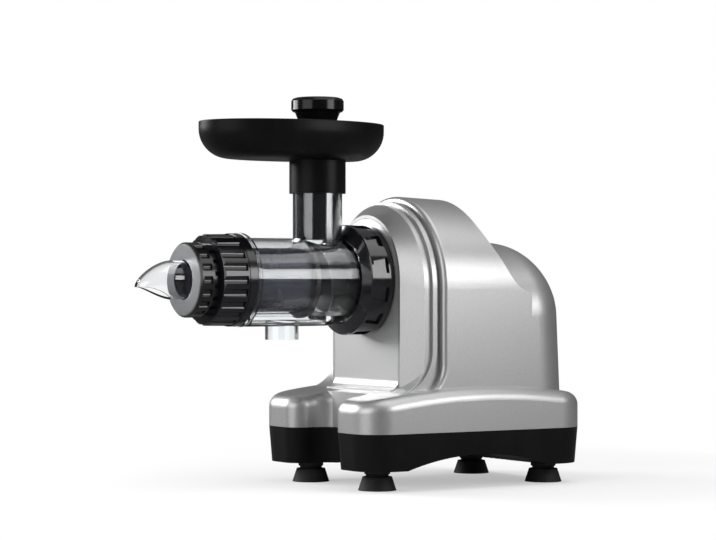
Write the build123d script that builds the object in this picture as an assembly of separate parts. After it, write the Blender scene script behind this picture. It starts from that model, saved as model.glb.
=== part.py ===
from build123d import *
import math
import os

# Cold press juicer, horizontal type.  Millimetres.
# X runs along the drive axis, from the pulp spout (-X) to the motor (+X), +Z is up.
# The origin is on the bench, under the middle of the overall length and width.

# ---------------------------------------------------------------- driving dimensions
AXIS_Z = 170.0            # height of the auger and of its drive shaft
GAP = 0.4                 # clearance between moulded pieces that move past each other
RUN = 0.05                # radial clearance of a shaft in its bearing
FIT = 0.02                # radial clearance of a piece pressed or keyed on another
TEXTURE_SAFE = 0.3        # least distance between moulded pieces that only lie close

# motor housing: deck with two prongs, hump over the gearbox, dome over the motor
WALL = 3.0
SEAM_Z = 47.0             # joint line between the silver housing and the black tray
DECK_FRONT_X = -31.0
DECK_REAR_X = 191.0
DECK_HALF_Y = 88.0
DECK_TOP_FRONT_Z = 72.0
DECK_TOP_MID_Z = 83.0
DECK_TOP_REAR_Z = 74.0
DECK_EDGE_R = 11.0
DECK_FRONT_R = 26.0
DECK_REAR_R = 30.0
PRONG_GAP_HALF_Y = 30.0   # the juice jug stands between the prongs
PRONG_ROOT_X = 9.0
PRONG_INNER_R = 16.0
PRONG_ROOT_R = 20.0

HUMP_HALF_Y = 78.0
HUMP_CREST_Z = 240.0
HUMP_CREST_DROP = 4.0     # the crest falls this much from the lip to the hump's end
HUMP_SPRING_Z = 163.0
HUMP_TOP_END_X = 90.0
HUMP_SIDE_END_X = 136.0
HUMP_SIDE_END_Z = 160.0
SCOOP_UPPER = (97.0, 209.0)
SCOOP_LOWER = (110.0, 183.0)
LIP_X = 48.0
LIP_EDGE_R = 4.0
LIP_FLARE_R = 24.0        # the lip, the rib and the cowl curve forward onto the deck
RIB_FLARE_R = 36.0
COWL_FLARE_R = 32.0
FLARE_FOOT_Z = 77.0

DOME_CREST_Z = 202.0
DOME_SPRING_Z = 140.0
DOME_FRONT_X = 60.0
DOME_REAR_X = 184.0
DOME_REAR_TOP_X = 176.0
DOME_EDGE_R = 36.0

COWL_FRONT_X = 22.0
COWL_FRONT_HALF_Y = 52.0
COWL_FRONT_CREST_Z = 224.0
COWL_BACK_X = 34.0
COWL_HALF_Y = 70.0
COWL_CREST_Z = 232.5
RIB_X = 40.2
RIB_THICK = 4.2
RIB_PROUD = 3.0

# front panel in the cowl
PANEL_HALF_Y = 49.0
PANEL_CREST_Z = 221.0
PANEL_THICK = 3.0
PANEL_TOE_R = 8.0
PANEL_TOE_Z = 80.0
PANEL_BACKING = 2.6       # housing wall behind the panel
PANEL_LEDGE = 3.5         # width of the ledge that the panel rests on

# bottom tray
TRAY_FLOOR_Z = 17.0
TRAY_ARCH_Z = 28.0
TRAY_ARCH_X0 = 8.0
TRAY_ARCH_X1 = 147.0
TRAY_DRAFT = 2.5          # how far the tray's wall leans in from seam to floor
VENT_COUNT = 7
VENT_PITCH = 8.0
VENT_WIDTH = 3.5
VENT_LENGTH = 44.0
VENT_X = 150.0

# suction feet
FOOT_POINTS = [(0.0, -52.0), (0.0, 52.0), (166.0, -53.0), (166.0, 53.0)]
FOOT_NAMES = ["foot_front_left", "foot_front_right", "foot_rear_left", "foot_rear_right"]
FOOT_STEM_R = 10.5
FOOT_BASE_R = 15.5
FOOT_CONE_TOP_R = 12.0
FOOT_CONE_H = 11.0
FOOT_SEAT_DEPTH = 2.0

# screws
SCREW_R = 1.75
SCREW_HEAD_R = 3.4
SCREW_HEAD_H = 2.4
HOUSING_SCREW_POINTS = [(-10.0, 59.0), (70.0, 72.5), (164.0, 67.0)]
POST_R = 5.0

# drum
DRUM_R = 34.0
DRUM_WALL = 2.5
DRUM_FRONT_X = -98.0
DRUM_REAR_X = 27.0
DRUM_FRONT_FLANGE_R = 38.0
DRUM_FRONT_FLANGE = 3.0
SPIGOT_LENGTH = 11.0
SPIGOT_R = 33.0
FEED_BORE_R = 27.0
FEED_FRONT_X = -41.0
REAR_FLANGE_R = 41.4
REAR_FLANGE_X = 2.0
REAR_FLANGE_THICK = 4.0
CHUTE_X = -25.0
CHUTE_R = 20.3
CHUTE_BORE_R = 18.0
CHUTE_TOP_Z = 266.0
KEEL_HALF_Y = 17.0
KEEL_BOTTOM_Z = 132.5
KEEL_REAR_X = -8.0
KEEL_RAMP = 16.0
OUTLET_X = -59.0
OUTLET_R = 13.6
OUTLET_BORE_R = 11.5
OUTLET_BOTTOM_Z = 121.5

# juicing screen and auger
SCREEN_R = 26.0
SCREEN_WALL = 1.8
SCREEN_FRONT_X = -97.0
SCREEN_RING_THICK = 3.5
SCREEN_SLOT_W = 0.9
SCREEN_SLOT_ROWS = 4
SCREEN_SLOTS = 9
AUGER_TAIL_R = 10.8
AUGER_CORE_REAR_R = 12.0
AUGER_CORE_FRONT_R = 19.5
AUGER_PITCH = 27.0
FLIGHT_ANGLE = 34.0
FEED_FLIGHT_X0 = -39.6
FEED_FLIGHT_X1 = -3.0
NOSE_TIP_X = -134.0
NOSE_TIP_R = 8.0
HEX_AF = 12.0             # across flats of the drive hexagon
HEX_DEPTH = 22.0

# drum cap, pressure dial, pulp spout
CAP_R = 37.5
CAP_REAR_X = -101.6
CAP_FLANGE = 7.4
CAP_FRONT_X = -131.7
CAP_WALL = 3.0
CAP_FLUTES = 22
CAP_FLUTE_DEPTH = 1.6
BAYONET_LUGS = 3
BAYONET_SPAN = 25.0
HUB_R = 22.5
HUB_BORE_R = 20.0
HUB_FRONT_X = -145.6
DIAL_R = 30.0
DIAL_FRONT_X = -150.0
DIAL_FACE = 3.6
DIAL_HOLE_R = 16.0
DIAL_FLUTES = 18
SLEEVE_FRONT_X = -137.6
SLEEVE_LENGTH = 17.0
SLEEVE_FRONT_BORE_R = 12.0
SLEEVE_REAR_BORE_R = 17.6
SPOUT_R = 15.5
SPOUT_WALL = 1.8
SPOUT_FLANGE_R = 18.0
SPOUT_FLANGE = 3.0
SPOUT_TUBE_X = -162.0
SPOUT_TIP_X = -191.0

# locking ring and drum seat
RING_R = 45.5
RING_FRONT_X = -0.6
RING_BEVEL = 3.8
RING_BORE_R = 42.2
RING_POCKETS = 12
RING_POCKET_LENGTH = 14.0
RING_POCKET_WIDTH = 13.0
RING_POCKET_NARROW = 8.5
RING_POCKET_DEPTH = 2.4
SEAT_R = 38.2
SEAT_LUG_R = 41.8
SEAT_FLANGE_R = 46.0
SEAT_FLANGE_X = 28.0
SEAT_FLANGE = 3.0
SEAT_SCREW_R = 42.0
LUG_THICK = 4.0

# feed tray and pusher
BOWL_CENTRE_X = -49.0
BOWL_HALF_X = 82.0
BOWL_HALF_Y = 53.5
BOWL_RIM_Z = 298.0
BOWL_FLOOR_Z = 268.0
BOWL_WALL = 2.4
BOWL_CORNER_R = 24.0
COLLAR_R = 23.2
COLLAR_BOTTOM_Z = 241.0
PUSHER_R = 17.5
PUSHER_BOTTOM_Z = 203.0
PUSHER_NECK_R = 15.5
PUSHER_FLANGE_R = 21.5
KNOB_R = 21.6
KNOB_TOP_Z = 320.0
KNOB_H = 12.0
KNOB_WAIST_R = 18.7
KNOB_WAIST_H = 8.0

# gear train: motor pinion -> idler wheel, idler pinion -> output gear
MODULE_FAST = 1.0
MODULE_SLOW = 1.5
TEETH_PINION = 12
TEETH_WHEEL = 60
TEETH_OUTPUT = 42
PRESSURE_ANGLE = math.radians(20.0)
ADDENDUM = 0.85           # in modules
DEDENDUM = 1.15
BACKLASH = 0.10           # each flank, in modules
MOTOR_DROP = 58.0         # the motor's axis lies this far below the auger's
OUTPUT_GEAR_X = 54.0
OUTPUT_GEAR_FACE = 14.0
WHEEL_X = 75.0
WHEEL_FACE = 8.0
OUTPUT_SHAFT_R = 8.0
IDLER_SHAFT_R = 4.0
MOTOR_SHAFT_R = 4.0

# gearbox
PLATE_X = 42.0
PLATE_THICK = 8.0
CASE_REAR_X = 90.0
CASE_WALL = 4.0
CASE_MARGIN = 6.0         # from gear tips to the outside of the case
BEARING_R = 16.0
BUSH_R = 7.0

# motor
MOTOR_FRONT_X = 95.0
MOTOR_REAR_X = 162.0
BRACKET_THICK = 6.0
BRACKET_R = 39.0
STATOR_R = 41.0
STATOR_BORE_R = 23.6
STATOR_X0 = 109.0
STATOR_X1 = 147.0
STATOR_SLOTS = 12
ROTOR_R = 22.8
MOTOR_BEARING_R = 11.0
FAN_R = 30.0
FAN_X = 164.0
FAN_WIDTH = 9.0
FAN_BLADES = 8
CHASSIS_Z = 56.0
CHASSIS_THICK = 2.0
CHASSIS_X0 = 48.0
CHASSIS_X1 = 174.0
CHASSIS_HALF_Y = 58.0
MOUNT_POINTS = [(60.0, -48.0), (60.0, 48.0), (150.0, -48.0), (150.0, 48.0)]
MOUNT_R = 7.0
MOUNT_H = 10.0
CAPACITOR_R = 13.0
CAPACITOR_LENGTH = 42.0
CAPACITOR_Y = -43.0

# switch on the far side, and the cord's way in
SWITCH_X = 128.0
SWITCH_Z = 112.0
SWITCH_HALF_X = 11.0
SWITCH_HALF_Z = 15.0
SWITCH_BEZEL = 2.0
ROCKER_HALF_X = 7.0
ROCKER_HALF_Z = 10.5
INLET_Y = -40.0
INLET_Z = 33.0
INLET_R = 7.0

# ---------------------------------------------------------------- places worked out
centre_slow = MODULE_SLOW * (TEETH_OUTPUT + TEETH_PINION) / 2
centre_fast = MODULE_FAST * (TEETH_WHEEL + TEETH_PINION) / 2
idler_angle = math.acos(
    (centre_slow**2 + MOTOR_DROP**2 - centre_fast**2) / (2 * centre_slow * MOTOR_DROP))
IDLER_Y = centre_slow * math.sin(idler_angle)
IDLER_Z = AXIS_Z - centre_slow * math.cos(idler_angle)
MOTOR_Z = AXIS_Z - MOTOR_DROP
pusher_seat_z = BOWL_FLOOR_Z + BOWL_WALL
tray_post_top = CHASSIS_Z - MOUNT_H


# ---------------------------------------------------------------- helpers
def save(name, shape):
    export_step(shape, f"parts/{name}.step")


def group(shapes):
    return Compound(children=list(shapes))


def turned(profile, y=0.0, z=AXIS_Z):
    """Turn a closed (x, radius) outline about an axis along X."""
    return Pos(0, y, z) * revolve(make_face(Polyline(*profile, close=True)), Axis.X)


def ring_x(x0, x1, outer, inner=0.0, y=0.0, z=AXIS_Z):
    """Tube or rod along X."""
    return turned([(x0, inner), (x1, inner), (x1, outer), (x0, outer)], y, z)


def turned_z(profile, x=0.0, y=0.0):
    """Turn a closed (radius, z) outline about an upright axis."""
    return Pos(x, y, 0) * revolve(Plane.XZ * make_face(Polyline(*profile, close=True)), Axis.Z)


def ring_z(z0, z1, outer, inner=0.0, x=0.0, y=0.0):
    """Upright tube or rod."""
    return turned_z([(inner, z0), (outer, z0), (outer, z1), (inner, z1)], x, y)


def block(x0, x1, y0, y1, z0, z1):
    middle = ((x0 + x1) / 2, (y0 + y1) / 2, (z0 + z1) / 2)
    return Pos(*middle) * Box(x1 - x0, y1 - y0, z1 - z0)


def about_x(solid, degrees, y=0.0, z=AXIS_Z):
    """Turn a solid about an axis along X through (y, z)."""
    return Pos(0, y, z) * (Rot(degrees, 0, 0) * (Pos(0, -y, -z) * solid))


def side_prism(lines, half):
    """Extrude a side view, drawn in X and Z, to both sides of the middle plane."""
    return extrude(Plane.XZ * make_face(lines), half, both=True)


def sector_x(x0, x1, outer, inner, start, span):
    """Part of a ring about the auger's axis, between two angles."""
    a0 = math.radians(start)
    a1 = math.radians(start + span)
    am = (a0 + a1) / 2
    at = lambda r, a: (r * math.cos(a), r * math.sin(a))
    face = make_face([
        ThreePointArc(at(outer, a0), at(outer, am), at(outer, a1)),
        Line(at(outer, a1), at(inner, a1)),
        ThreePointArc(at(inner, a1), at(inner, am), at(inner, a0)),
        Line(at(inner, a0), at(outer, a0)),
    ])
    return Pos(x0, 0, AXIS_Z) * extrude(Plane.YZ * face, x1 - x0)


def lugs(x0, x1, outer, inner, first=0.0):
    """Bayonet lugs, evenly spaced."""
    step = 360 / BAYONET_LUGS
    return [sector_x(x0, x1, outer, inner, first + i * step, BAYONET_SPAN)
            for i in range(BAYONET_LUGS)]


def arch_face(x, half, crest, spring, base):
    """Upright section: straight sides up to the spring line, closed by half an ellipse."""
    face = make_face([
        Line((-half, base), (half, base)),
        Line((half, base), (half, spring)),
        EllipticalCenterArc((0, spring), half, crest - spring, start_angle=0, arc_size=180),
        Line((-half, spring), (-half, base)),
    ])
    return Plane.YZ.offset(x) * face


def arch_prism(x0, x1, half, crest, spring, base=SEAM_Z):
    return extrude(arch_face(x0, half, crest, spring, base), x1 - x0)


def screw_z(x, y, head_z, tip_z):
    """Pan head screw driven upwards; its head is at the lower end."""
    head = ring_z(head_z, head_z + SCREW_HEAD_H, SCREW_HEAD_R, 0, x, y)
    return head + ring_z(head_z, tip_z, SCREW_R, 0, x, y)


def screw_x(y, z, head_x, tip_x):
    """Pan head screw driven along X, towards +X or -X."""
    towards = 1 if tip_x > head_x else -1
    ends = sorted([head_x, head_x + towards * SCREW_HEAD_H])
    shank = sorted([head_x, tip_x])
    return ring_x(*ends, SCREW_HEAD_R, 0, y, z) + ring_x(*shank, SCREW_R, 0, y, z)


def mirrored_points(points):
    return [(x, s * y) for x, y in points for s in (-1, 1)]


# ---------------------------------------------------------------- motor housing
def deck_plan(inset):
    """U-shaped outline of the deck, seen from above."""
    x0 = DECK_FRONT_X + inset
    x1 = DECK_REAR_X - inset
    half = DECK_HALF_Y - inset
    gap = PRONG_GAP_HALF_Y + inset
    root = PRONG_ROOT_X + inset
    corners = [
        ((x0, -half), DECK_FRONT_R - inset), ((x1, -half), DECK_REAR_R - inset),
        ((x1, half), DECK_REAR_R - inset), ((x0, half), DECK_FRONT_R - inset),
        ((x0, gap), PRONG_INNER_R - inset), ((root, gap), PRONG_ROOT_R + inset),
        ((root, -gap), PRONG_ROOT_R + inset), ((x0, -gap), PRONG_INNER_R - inset),
    ]
    points = [point for point, radius in corners]
    radii = [radius for point, radius in corners]
    return make_face(FilletPolyline(*points, radius=radii, close=True))


def deck_form(inset):
    front = (DECK_FRONT_X, DECK_TOP_FRONT_Z - inset)
    middle = ((DECK_FRONT_X + DECK_REAR_X) / 2, DECK_TOP_MID_Z - inset)
    rear = (DECK_REAR_X, DECK_TOP_REAR_Z - inset)
    crown = ThreePointArc(front, middle, rear)
    centre = crown.arc_center
    drum = extrude(Plane.XZ * (Pos(centre.X, centre.Y) * Circle(crown.radius)),
                   2 * DECK_HALF_Y, both=True)
    slab = extrude(Pos(0, 0, SEAM_Z) * deck_plan(inset), DECK_TOP_MID_Z - SEAM_Z)
    deck = slab & drum
    top = deck.faces().sort_by(Axis.Z)[-1]
    return fillet(top.edges(), DECK_EDGE_R - inset)


def hump_form(inset):
    """Arched cover over the gearbox, scooped away behind, with a lip that flares forward."""
    half = HUMP_HALF_Y - inset
    slope = HUMP_CREST_DROP / (HUMP_SIDE_END_X - LIP_X)
    crest = lambda x: HUMP_CREST_Z - inset - slope * (x - LIP_X)
    front_x = DECK_FRONT_X
    rear_x = HUMP_SIDE_END_X + 2
    arch = loft([
        arch_face(front_x, half, crest(front_x), HUMP_SPRING_Z, SEAM_Z),
        arch_face(rear_x, half, crest(rear_x), HUMP_SPRING_Z, SEAM_Z),
    ], ruled=True)
    roof = HUMP_CREST_Z + 10
    end_x = HUMP_SIDE_END_X - inset
    end_z = HUMP_SIDE_END_Z - inset
    upper = (SCOOP_UPPER[0] - inset, SCOOP_UPPER[1])
    lower = (SCOOP_LOWER[0] - inset, SCOOP_LOWER[1])
    top = (HUMP_TOP_END_X - inset, roof)
    front = flare_line(LIP_X + inset, LIP_FLARE_R + inset, roof, FLARE_FOOT_Z - inset)
    toe_x = LIP_X - LIP_FLARE_R
    side = side_prism(front + [
        Line((toe_x, FLARE_FOOT_Z - inset), (toe_x, SEAM_Z)),
        Line((toe_x, SEAM_Z), (end_x, SEAM_Z)),
        Line((end_x, SEAM_Z), (end_x, end_z)),
        Spline((end_x, end_z), lower, upper, top, tangents=((-1, 0.12), (-0.15, 1))),
        Line(top, (LIP_X + inset, roof)),
    ], 2 * DECK_HALF_Y)
    hump = arch & side
    if inset:
        return hump
    lip_faces = [face for face in hump.faces() if face.center().X < LIP_X + 0.1
                 and face.normal_at().X < -0.05 and face.center().Z > FLARE_FOOT_Z]
    edges = [edge for face in lip_faces for edge in face.edges()
             if edge.center().Z > FLARE_FOOT_Z + 1 and edge.geom_type != GeomType.LINE
             or abs(abs(edge.center().Y) - HUMP_HALF_Y) < 0.1 and edge.center().Z > FLARE_FOOT_Z + 1]
    return fillet(edges, LIP_EDGE_R)


def dome_form(inset):
    """Rounded cover over the motor."""
    arch = arch_prism(DOME_FRONT_X, DECK_REAR_X, HUMP_HALF_Y - inset,
                      DOME_CREST_Z - inset, DOME_SPRING_Z)
    roof = DOME_CREST_Z + 5
    side = side_prism(Polyline(
        (DOME_FRONT_X - 1, SEAM_Z - 1), (DOME_REAR_X - inset, SEAM_Z - 1),
        (DOME_REAR_TOP_X - inset, roof), (DOME_FRONT_X - 1, roof), close=True),
        2 * DECK_HALF_Y)
    dome = arch & side
    rear = dome.faces().sort_by(Axis.X)[-1]
    edges = [edge for edge in rear.edges() if edge.center().Z > SEAM_Z + 1]
    return fillet(edges, DOME_EDGE_R - inset)


def cowl_form(inset):
    """Bevelled front of the hump, and the floor of the groove behind it."""
    front = arch_face(COWL_FRONT_X + inset, COWL_FRONT_HALF_Y - inset,
                      COWL_FRONT_CREST_Z - inset, AXIS_Z, SEAM_Z)
    back = arch_face(COWL_BACK_X, COWL_HALF_Y - inset,
                     COWL_CREST_Z - inset, HUMP_SPRING_Z, SEAM_Z)
    bevel = loft([front, back], ruled=True)
    floor = arch_prism(COWL_BACK_X, DOME_FRONT_X + 2, COWL_HALF_Y - inset,
                       COWL_CREST_Z - inset, HUMP_SPRING_Z)
    return bevel + floor


def flare_line(x, radius, roof, foot_z):
    """Side view of an upright edge that curves forward at its foot."""
    bend_z = foot_z + radius
    return [
        Line((x, roof), (x, bend_z)),
        RadiusArc((x, bend_z), (x - radius, foot_z), radius),
    ]


def groove_rib():
    """Rib in the middle of the groove; it follows the flare forward onto the deck."""
    roof = HUMP_CREST_Z + 10
    rear_x = RIB_X + RIB_THICK
    bend_z = FLARE_FOOT_Z + RIB_FLARE_R
    band = side_prism(flare_line(RIB_X, RIB_FLARE_R, roof, FLARE_FOOT_Z) + [
        Line((RIB_X - RIB_FLARE_R, FLARE_FOOT_Z), (rear_x - RIB_FLARE_R, FLARE_FOOT_Z)),
        RadiusArc((rear_x - RIB_FLARE_R, FLARE_FOOT_Z), (rear_x, bend_z), -RIB_FLARE_R),
        Line((rear_x, bend_z), (rear_x, roof)),
        Line((rear_x, roof), (RIB_X, roof)),
    ], 2 * DECK_HALF_Y)
    return band & arch_prism(DECK_FRONT_X, DOME_FRONT_X, COWL_HALF_Y + RIB_PROUD,
                             COWL_CREST_Z + RIB_PROUD, HUMP_SPRING_Z)


def cowl_cheeks():
    """The cowl's sides, swept forward onto the prongs."""
    x = COWL_BACK_X + 2
    roof = HUMP_CREST_Z + 10
    toe_x = x - COWL_FLARE_R
    solid = side_prism(flare_line(x, COWL_FLARE_R, roof, FLARE_FOOT_Z) + [
        Line((toe_x, FLARE_FOOT_Z), (toe_x, SEAM_Z)),
        Line((toe_x, SEAM_Z), (LIP_X + 1, SEAM_Z)),
        Line((LIP_X + 1, SEAM_Z), (LIP_X + 1, roof)),
        Line((LIP_X + 1, roof), (x, roof)),
    ], 2 * DECK_HALF_Y)
    return solid & arch_prism(DECK_FRONT_X, DOME_FRONT_X, COWL_HALF_Y, COWL_CREST_Z, HUMP_SPRING_Z)


def panel_front_space():
    """What lies open in front of the panel, between the cheeks."""
    x0 = COWL_FRONT_X
    toe_x = x0 - PANEL_TOE_R
    roof = HUMP_CREST_Z
    space = side_prism(flare_line(x0, PANEL_TOE_R, roof, PANEL_TOE_Z) + [
        Line((toe_x, PANEL_TOE_Z), (DECK_FRONT_X, PANEL_TOE_Z)),
        Line((DECK_FRONT_X, PANEL_TOE_Z), (DECK_FRONT_X, roof)),
        Line((DECK_FRONT_X, roof), (x0, roof)),
    ], 2 * DECK_HALF_Y)
    return space & arch_prism(DECK_FRONT_X, DOME_FRONT_X, PANEL_HALF_Y + TEXTURE_SAFE,
                              PANEL_CREST_Z + TEXTURE_SAFE, AXIS_Z)


def panel_form(grow):
    """Front panel: an upright arch with a toe that curves forward onto the deck."""
    x0 = COWL_FRONT_X
    x1 = x0 + PANEL_THICK + grow
    toe_x = x0 - PANEL_TOE_R
    bend_z = PANEL_TOE_Z + PANEL_TOE_R
    roof = HUMP_CREST_Z
    inner_r = PANEL_TOE_R + PANEL_THICK + grow
    side = side_prism([
        Line((x0, roof), (x0, bend_z)),
        RadiusArc((x0, bend_z), (toe_x, PANEL_TOE_Z), PANEL_TOE_R),
        Line((toe_x, PANEL_TOE_Z), (toe_x, bend_z - inner_r)),
        RadiusArc((toe_x, bend_z - inner_r), (x1, bend_z), -inner_r),
        Line((x1, bend_z), (x1, roof)),
        Line((x1, roof), (x0, roof)),
    ], 2 * DECK_HALF_Y)
    return side & arch_prism(DECK_FRONT_X, DOME_FRONT_X, PANEL_HALF_Y + grow,
                             PANEL_CREST_Z + grow, AXIS_Z)


def upper_housing():
    front = cowl_form(0) + cowl_cheeks() + groove_rib() - panel_front_space()
    outer = deck_form(0) + hump_form(0) + dome_form(0) + front
    cavity = deck_form(WALL) + hump_form(WALL) + dome_form(WALL) + cowl_form(WALL)
    shell = outer - cavity + (panel_form(PANEL_BACKING) & outer)
    for x, y in mirrored_points(HOUSING_SCREW_POINTS):
        post = ring_z(SEAM_Z, DECK_TOP_MID_Z, POST_R, 0, x, y)
        shell += post & outer
    for x, y in mirrored_points(HOUSING_SCREW_POINTS):
        shell -= ring_z(SEAM_Z - 1, SEAM_Z + 16, SCREW_R, 0, x, y)
    shell -= panel_form(TEXTURE_SAFE)
    shell -= arch_prism(COWL_FRONT_X, COWL_BACK_X, PANEL_HALF_Y - PANEL_LEDGE,
                        PANEL_CREST_Z - PANEL_LEDGE, AXIS_Z, PANEL_TOE_Z + 2 * PANEL_TOE_R)
    shell -= block(SWITCH_X - SWITCH_HALF_X + 1, SWITCH_X + SWITCH_HALF_X - 1,
                   HUMP_HALF_Y - 2 * WALL, HUMP_HALF_Y + WALL,
                   SWITCH_Z - SWITCH_HALF_Z + 1, SWITCH_Z + SWITCH_HALF_Z - 1)
    return shell


def front_panel():
    return panel_form(0) - ring_x(COWL_FRONT_X - 1, COWL_FRONT_X + 5, SEAT_R + GAP)


# ---------------------------------------------------------------- bottom tray and feet
def tray_block(inset, rise):
    """Tapered U-shaped block; its underside is arched between the feet."""
    depth = SEAM_Z - TRAY_FLOOR_Z
    upper = Pos(0, 0, SEAM_Z) * deck_plan(inset)
    lower = Pos(0, 0, TRAY_FLOOR_Z) * deck_plan(inset + TRAY_DRAFT)
    solid = loft([lower, upper], ruled=True)
    arch_x = (TRAY_ARCH_X0 + TRAY_ARCH_X1) / 2
    z0 = TRAY_FLOOR_Z + rise
    under = side_prism([
        Line((DECK_FRONT_X - 5, z0), (TRAY_ARCH_X0, z0)),
        ThreePointArc((TRAY_ARCH_X0, z0), (arch_x, TRAY_ARCH_Z + rise), (TRAY_ARCH_X1, z0)),
        Line((TRAY_ARCH_X1, z0), (DECK_REAR_X + 5, z0)),
        Line((DECK_REAR_X + 5, z0), (DECK_REAR_X + 5, z0 - depth)),
        Line((DECK_REAR_X + 5, z0 - depth), (DECK_FRONT_X - 5, z0 - depth)),
        Line((DECK_FRONT_X - 5, z0 - depth), (DECK_FRONT_X - 5, z0)),
    ], 2 * DECK_HALF_Y)
    return solid - under


def bottom_tray():
    outer = tray_block(0, 0)
    tray = outer - tray_block(WALL, WALL)
    for x, y in mirrored_points(HOUSING_SCREW_POINTS):
        tray += ring_z(TRAY_FLOOR_Z, SEAM_Z, POST_R + 1, 0, x, y) & outer
    for x, y in FOOT_POINTS:
        tray += ring_z(TRAY_FLOOR_Z, TRAY_FLOOR_Z + 15, FOOT_STEM_R + 2, 0, x, y) & outer
    for x, y in MOUNT_POINTS:
        tray += ring_z(TRAY_FLOOR_Z, tray_post_top, MOUNT_R, 0, x, y) & outer
    for x, y in mirrored_points(HOUSING_SCREW_POINTS):
        tray -= ring_z(0, SEAM_Z + 1, SCREW_R + GAP, 0, x, y)
        tray -= ring_z(0, SEAM_Z - 8, SCREW_HEAD_R + GAP, 0, x, y)
    for x, y in FOOT_POINTS:
        tray -= ring_z(0, TRAY_FLOOR_Z + FOOT_SEAT_DEPTH, FOOT_STEM_R + FIT, 0, x, y)
        tray -= ring_z(0, TRAY_FLOOR_Z + 13, SCREW_R, 0, x, y)
    for x, y in MOUNT_POINTS:
        tray -= ring_z(tray_post_top - 12, tray_post_top + 1, SCREW_R, 0, x, y)
    for i in range(VENT_COUNT):
        y = (i - (VENT_COUNT - 1) / 2) * VENT_PITCH
        tray -= block(VENT_X - VENT_LENGTH / 2, VENT_X + VENT_LENGTH / 2,
                      y - VENT_WIDTH / 2, y + VENT_WIDTH / 2, 0, TRAY_ARCH_Z + 2)
    tray -= ring_x(DECK_REAR_X - 8, DECK_REAR_X + 2, INLET_R - 1.5, 0, INLET_Y, INLET_Z)
    return tray


def foot(x, y):
    """Rubber suction foot, screwed up into the tray."""
    top = TRAY_FLOOR_Z + FOOT_SEAT_DEPTH
    return turned_z([
        (SCREW_R + FIT, top), (FOOT_STEM_R, top), (FOOT_STEM_R, FOOT_CONE_H + 2.5),
        (FOOT_STEM_R - 1.3, FOOT_CONE_H + 1.6), (FOOT_STEM_R - 1.3, FOOT_CONE_H + 0.6),
        (FOOT_CONE_TOP_R, FOOT_CONE_H), (FOOT_BASE_R - 0.3, 1.2), (FOOT_BASE_R, 0.5),
        (FOOT_BASE_R, 0), (FOOT_BASE_R - 2, 0), (9.0, 2.6), (SCREW_HEAD_R + GAP, 3.2),
        (SCREW_HEAD_R + GAP, 8.0), (SCREW_R + FIT, 8.0),
    ], x, y)


def foot_screws():
    return group(screw_z(x, y, 8.0 - SCREW_HEAD_H, TRAY_FLOOR_Z + 12) for x, y in FOOT_POINTS)


def housing_screws():
    head_z = SEAM_Z - 8 - SCREW_HEAD_H
    return group(screw_z(x, y, head_z, SEAM_Z + 14)
                 for x, y in mirrored_points(HOUSING_SCREW_POINTS))


def cord_inlet():
    """Grommet in the tray's rear wall for the mains lead."""
    at = dict(y=INLET_Y, z=INLET_Z)
    outer_x = DECK_REAR_X - TRAY_DRAFT / 2
    grommet = ring_x(outer_x - WALL - 4, outer_x + 1, INLET_R - 1.5 - FIT, 3.5, **at)
    return grommet


# ---------------------------------------------------------------- drum, screen and auger
def drum():
    """Clear drum: tube, feed chute, keel that collects the juice, and its outlet."""
    flange_x = REAR_FLANGE_X
    flange_end = REAR_FLANGE_X + REAR_FLANGE_THICK
    front = DRUM_FRONT_X - DRUM_FRONT_FLANGE
    body = turned([
        (front - SPIGOT_LENGTH, 0), (DRUM_REAR_X, 0), (DRUM_REAR_X, DRUM_R),
        (flange_end, DRUM_R), (flange_end, REAR_FLANGE_R), (flange_x, REAR_FLANGE_R),
        (flange_x, DRUM_R), (DRUM_FRONT_X, DRUM_R), (DRUM_FRONT_X, DRUM_FRONT_FLANGE_R),
        (front, DRUM_FRONT_FLANGE_R), (front, SPIGOT_R), (front - SPIGOT_LENGTH, SPIGOT_R),
    ])
    keel = side_prism(Polyline(
        (DRUM_FRONT_X, AXIS_Z), (DRUM_FRONT_X, KEEL_BOTTOM_Z), (KEEL_REAR_X - KEEL_RAMP, KEEL_BOTTOM_Z),
        (KEEL_REAR_X, AXIS_Z - DRUM_R + 2), (KEEL_REAR_X, AXIS_Z), close=True), KEEL_HALF_Y)
    keel = fillet(keel.faces().sort_by(Axis.Z)[0].edges().filter_by(Axis.X), 6.0)
    body += keel
    body += ring_z(AXIS_Z, CHUTE_TOP_Z, CHUTE_R, 0, CHUTE_X)
    body += ring_z(OUTLET_BOTTOM_Z, KEEL_BOTTOM_Z + 4, OUTLET_R, 0, OUTLET_X)
    body -= ring_x(front - SPIGOT_LENGTH - 1, FEED_FRONT_X, DRUM_R - DRUM_WALL)
    body -= ring_x(FEED_FRONT_X - 1, DRUM_REAR_X - WALL, FEED_BORE_R)
    body -= ring_x(FEED_FRONT_X, DRUM_REAR_X + 1, AUGER_TAIL_R + GAP)
    body -= ring_z(AXIS_Z, CHUTE_TOP_Z + 1, CHUTE_BORE_R, 0, CHUTE_X)
    trough = block(DRUM_FRONT_X + DRUM_WALL, KEEL_REAR_X - KEEL_RAMP - 2,
                   -KEEL_HALF_Y + DRUM_WALL, KEEL_HALF_Y - DRUM_WALL,
                   KEEL_BOTTOM_Z + DRUM_WALL, AXIS_Z - SCREEN_R)
    body -= fillet(trough.faces().sort_by(Axis.Z)[0].edges().filter_by(Axis.X), 4.0)
    body -= ring_z(OUTLET_BOTTOM_Z - 1, KEEL_BOTTOM_Z + 5, OUTLET_BORE_R, 0, OUTLET_X)
    for lug in lugs(front - SPIGOT_LENGTH, front - SPIGOT_LENGTH + LUG_THICK,
                    CAP_R - CAP_WALL - GAP, SPIGOT_R - 0.5):
        body += lug
    return body


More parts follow.
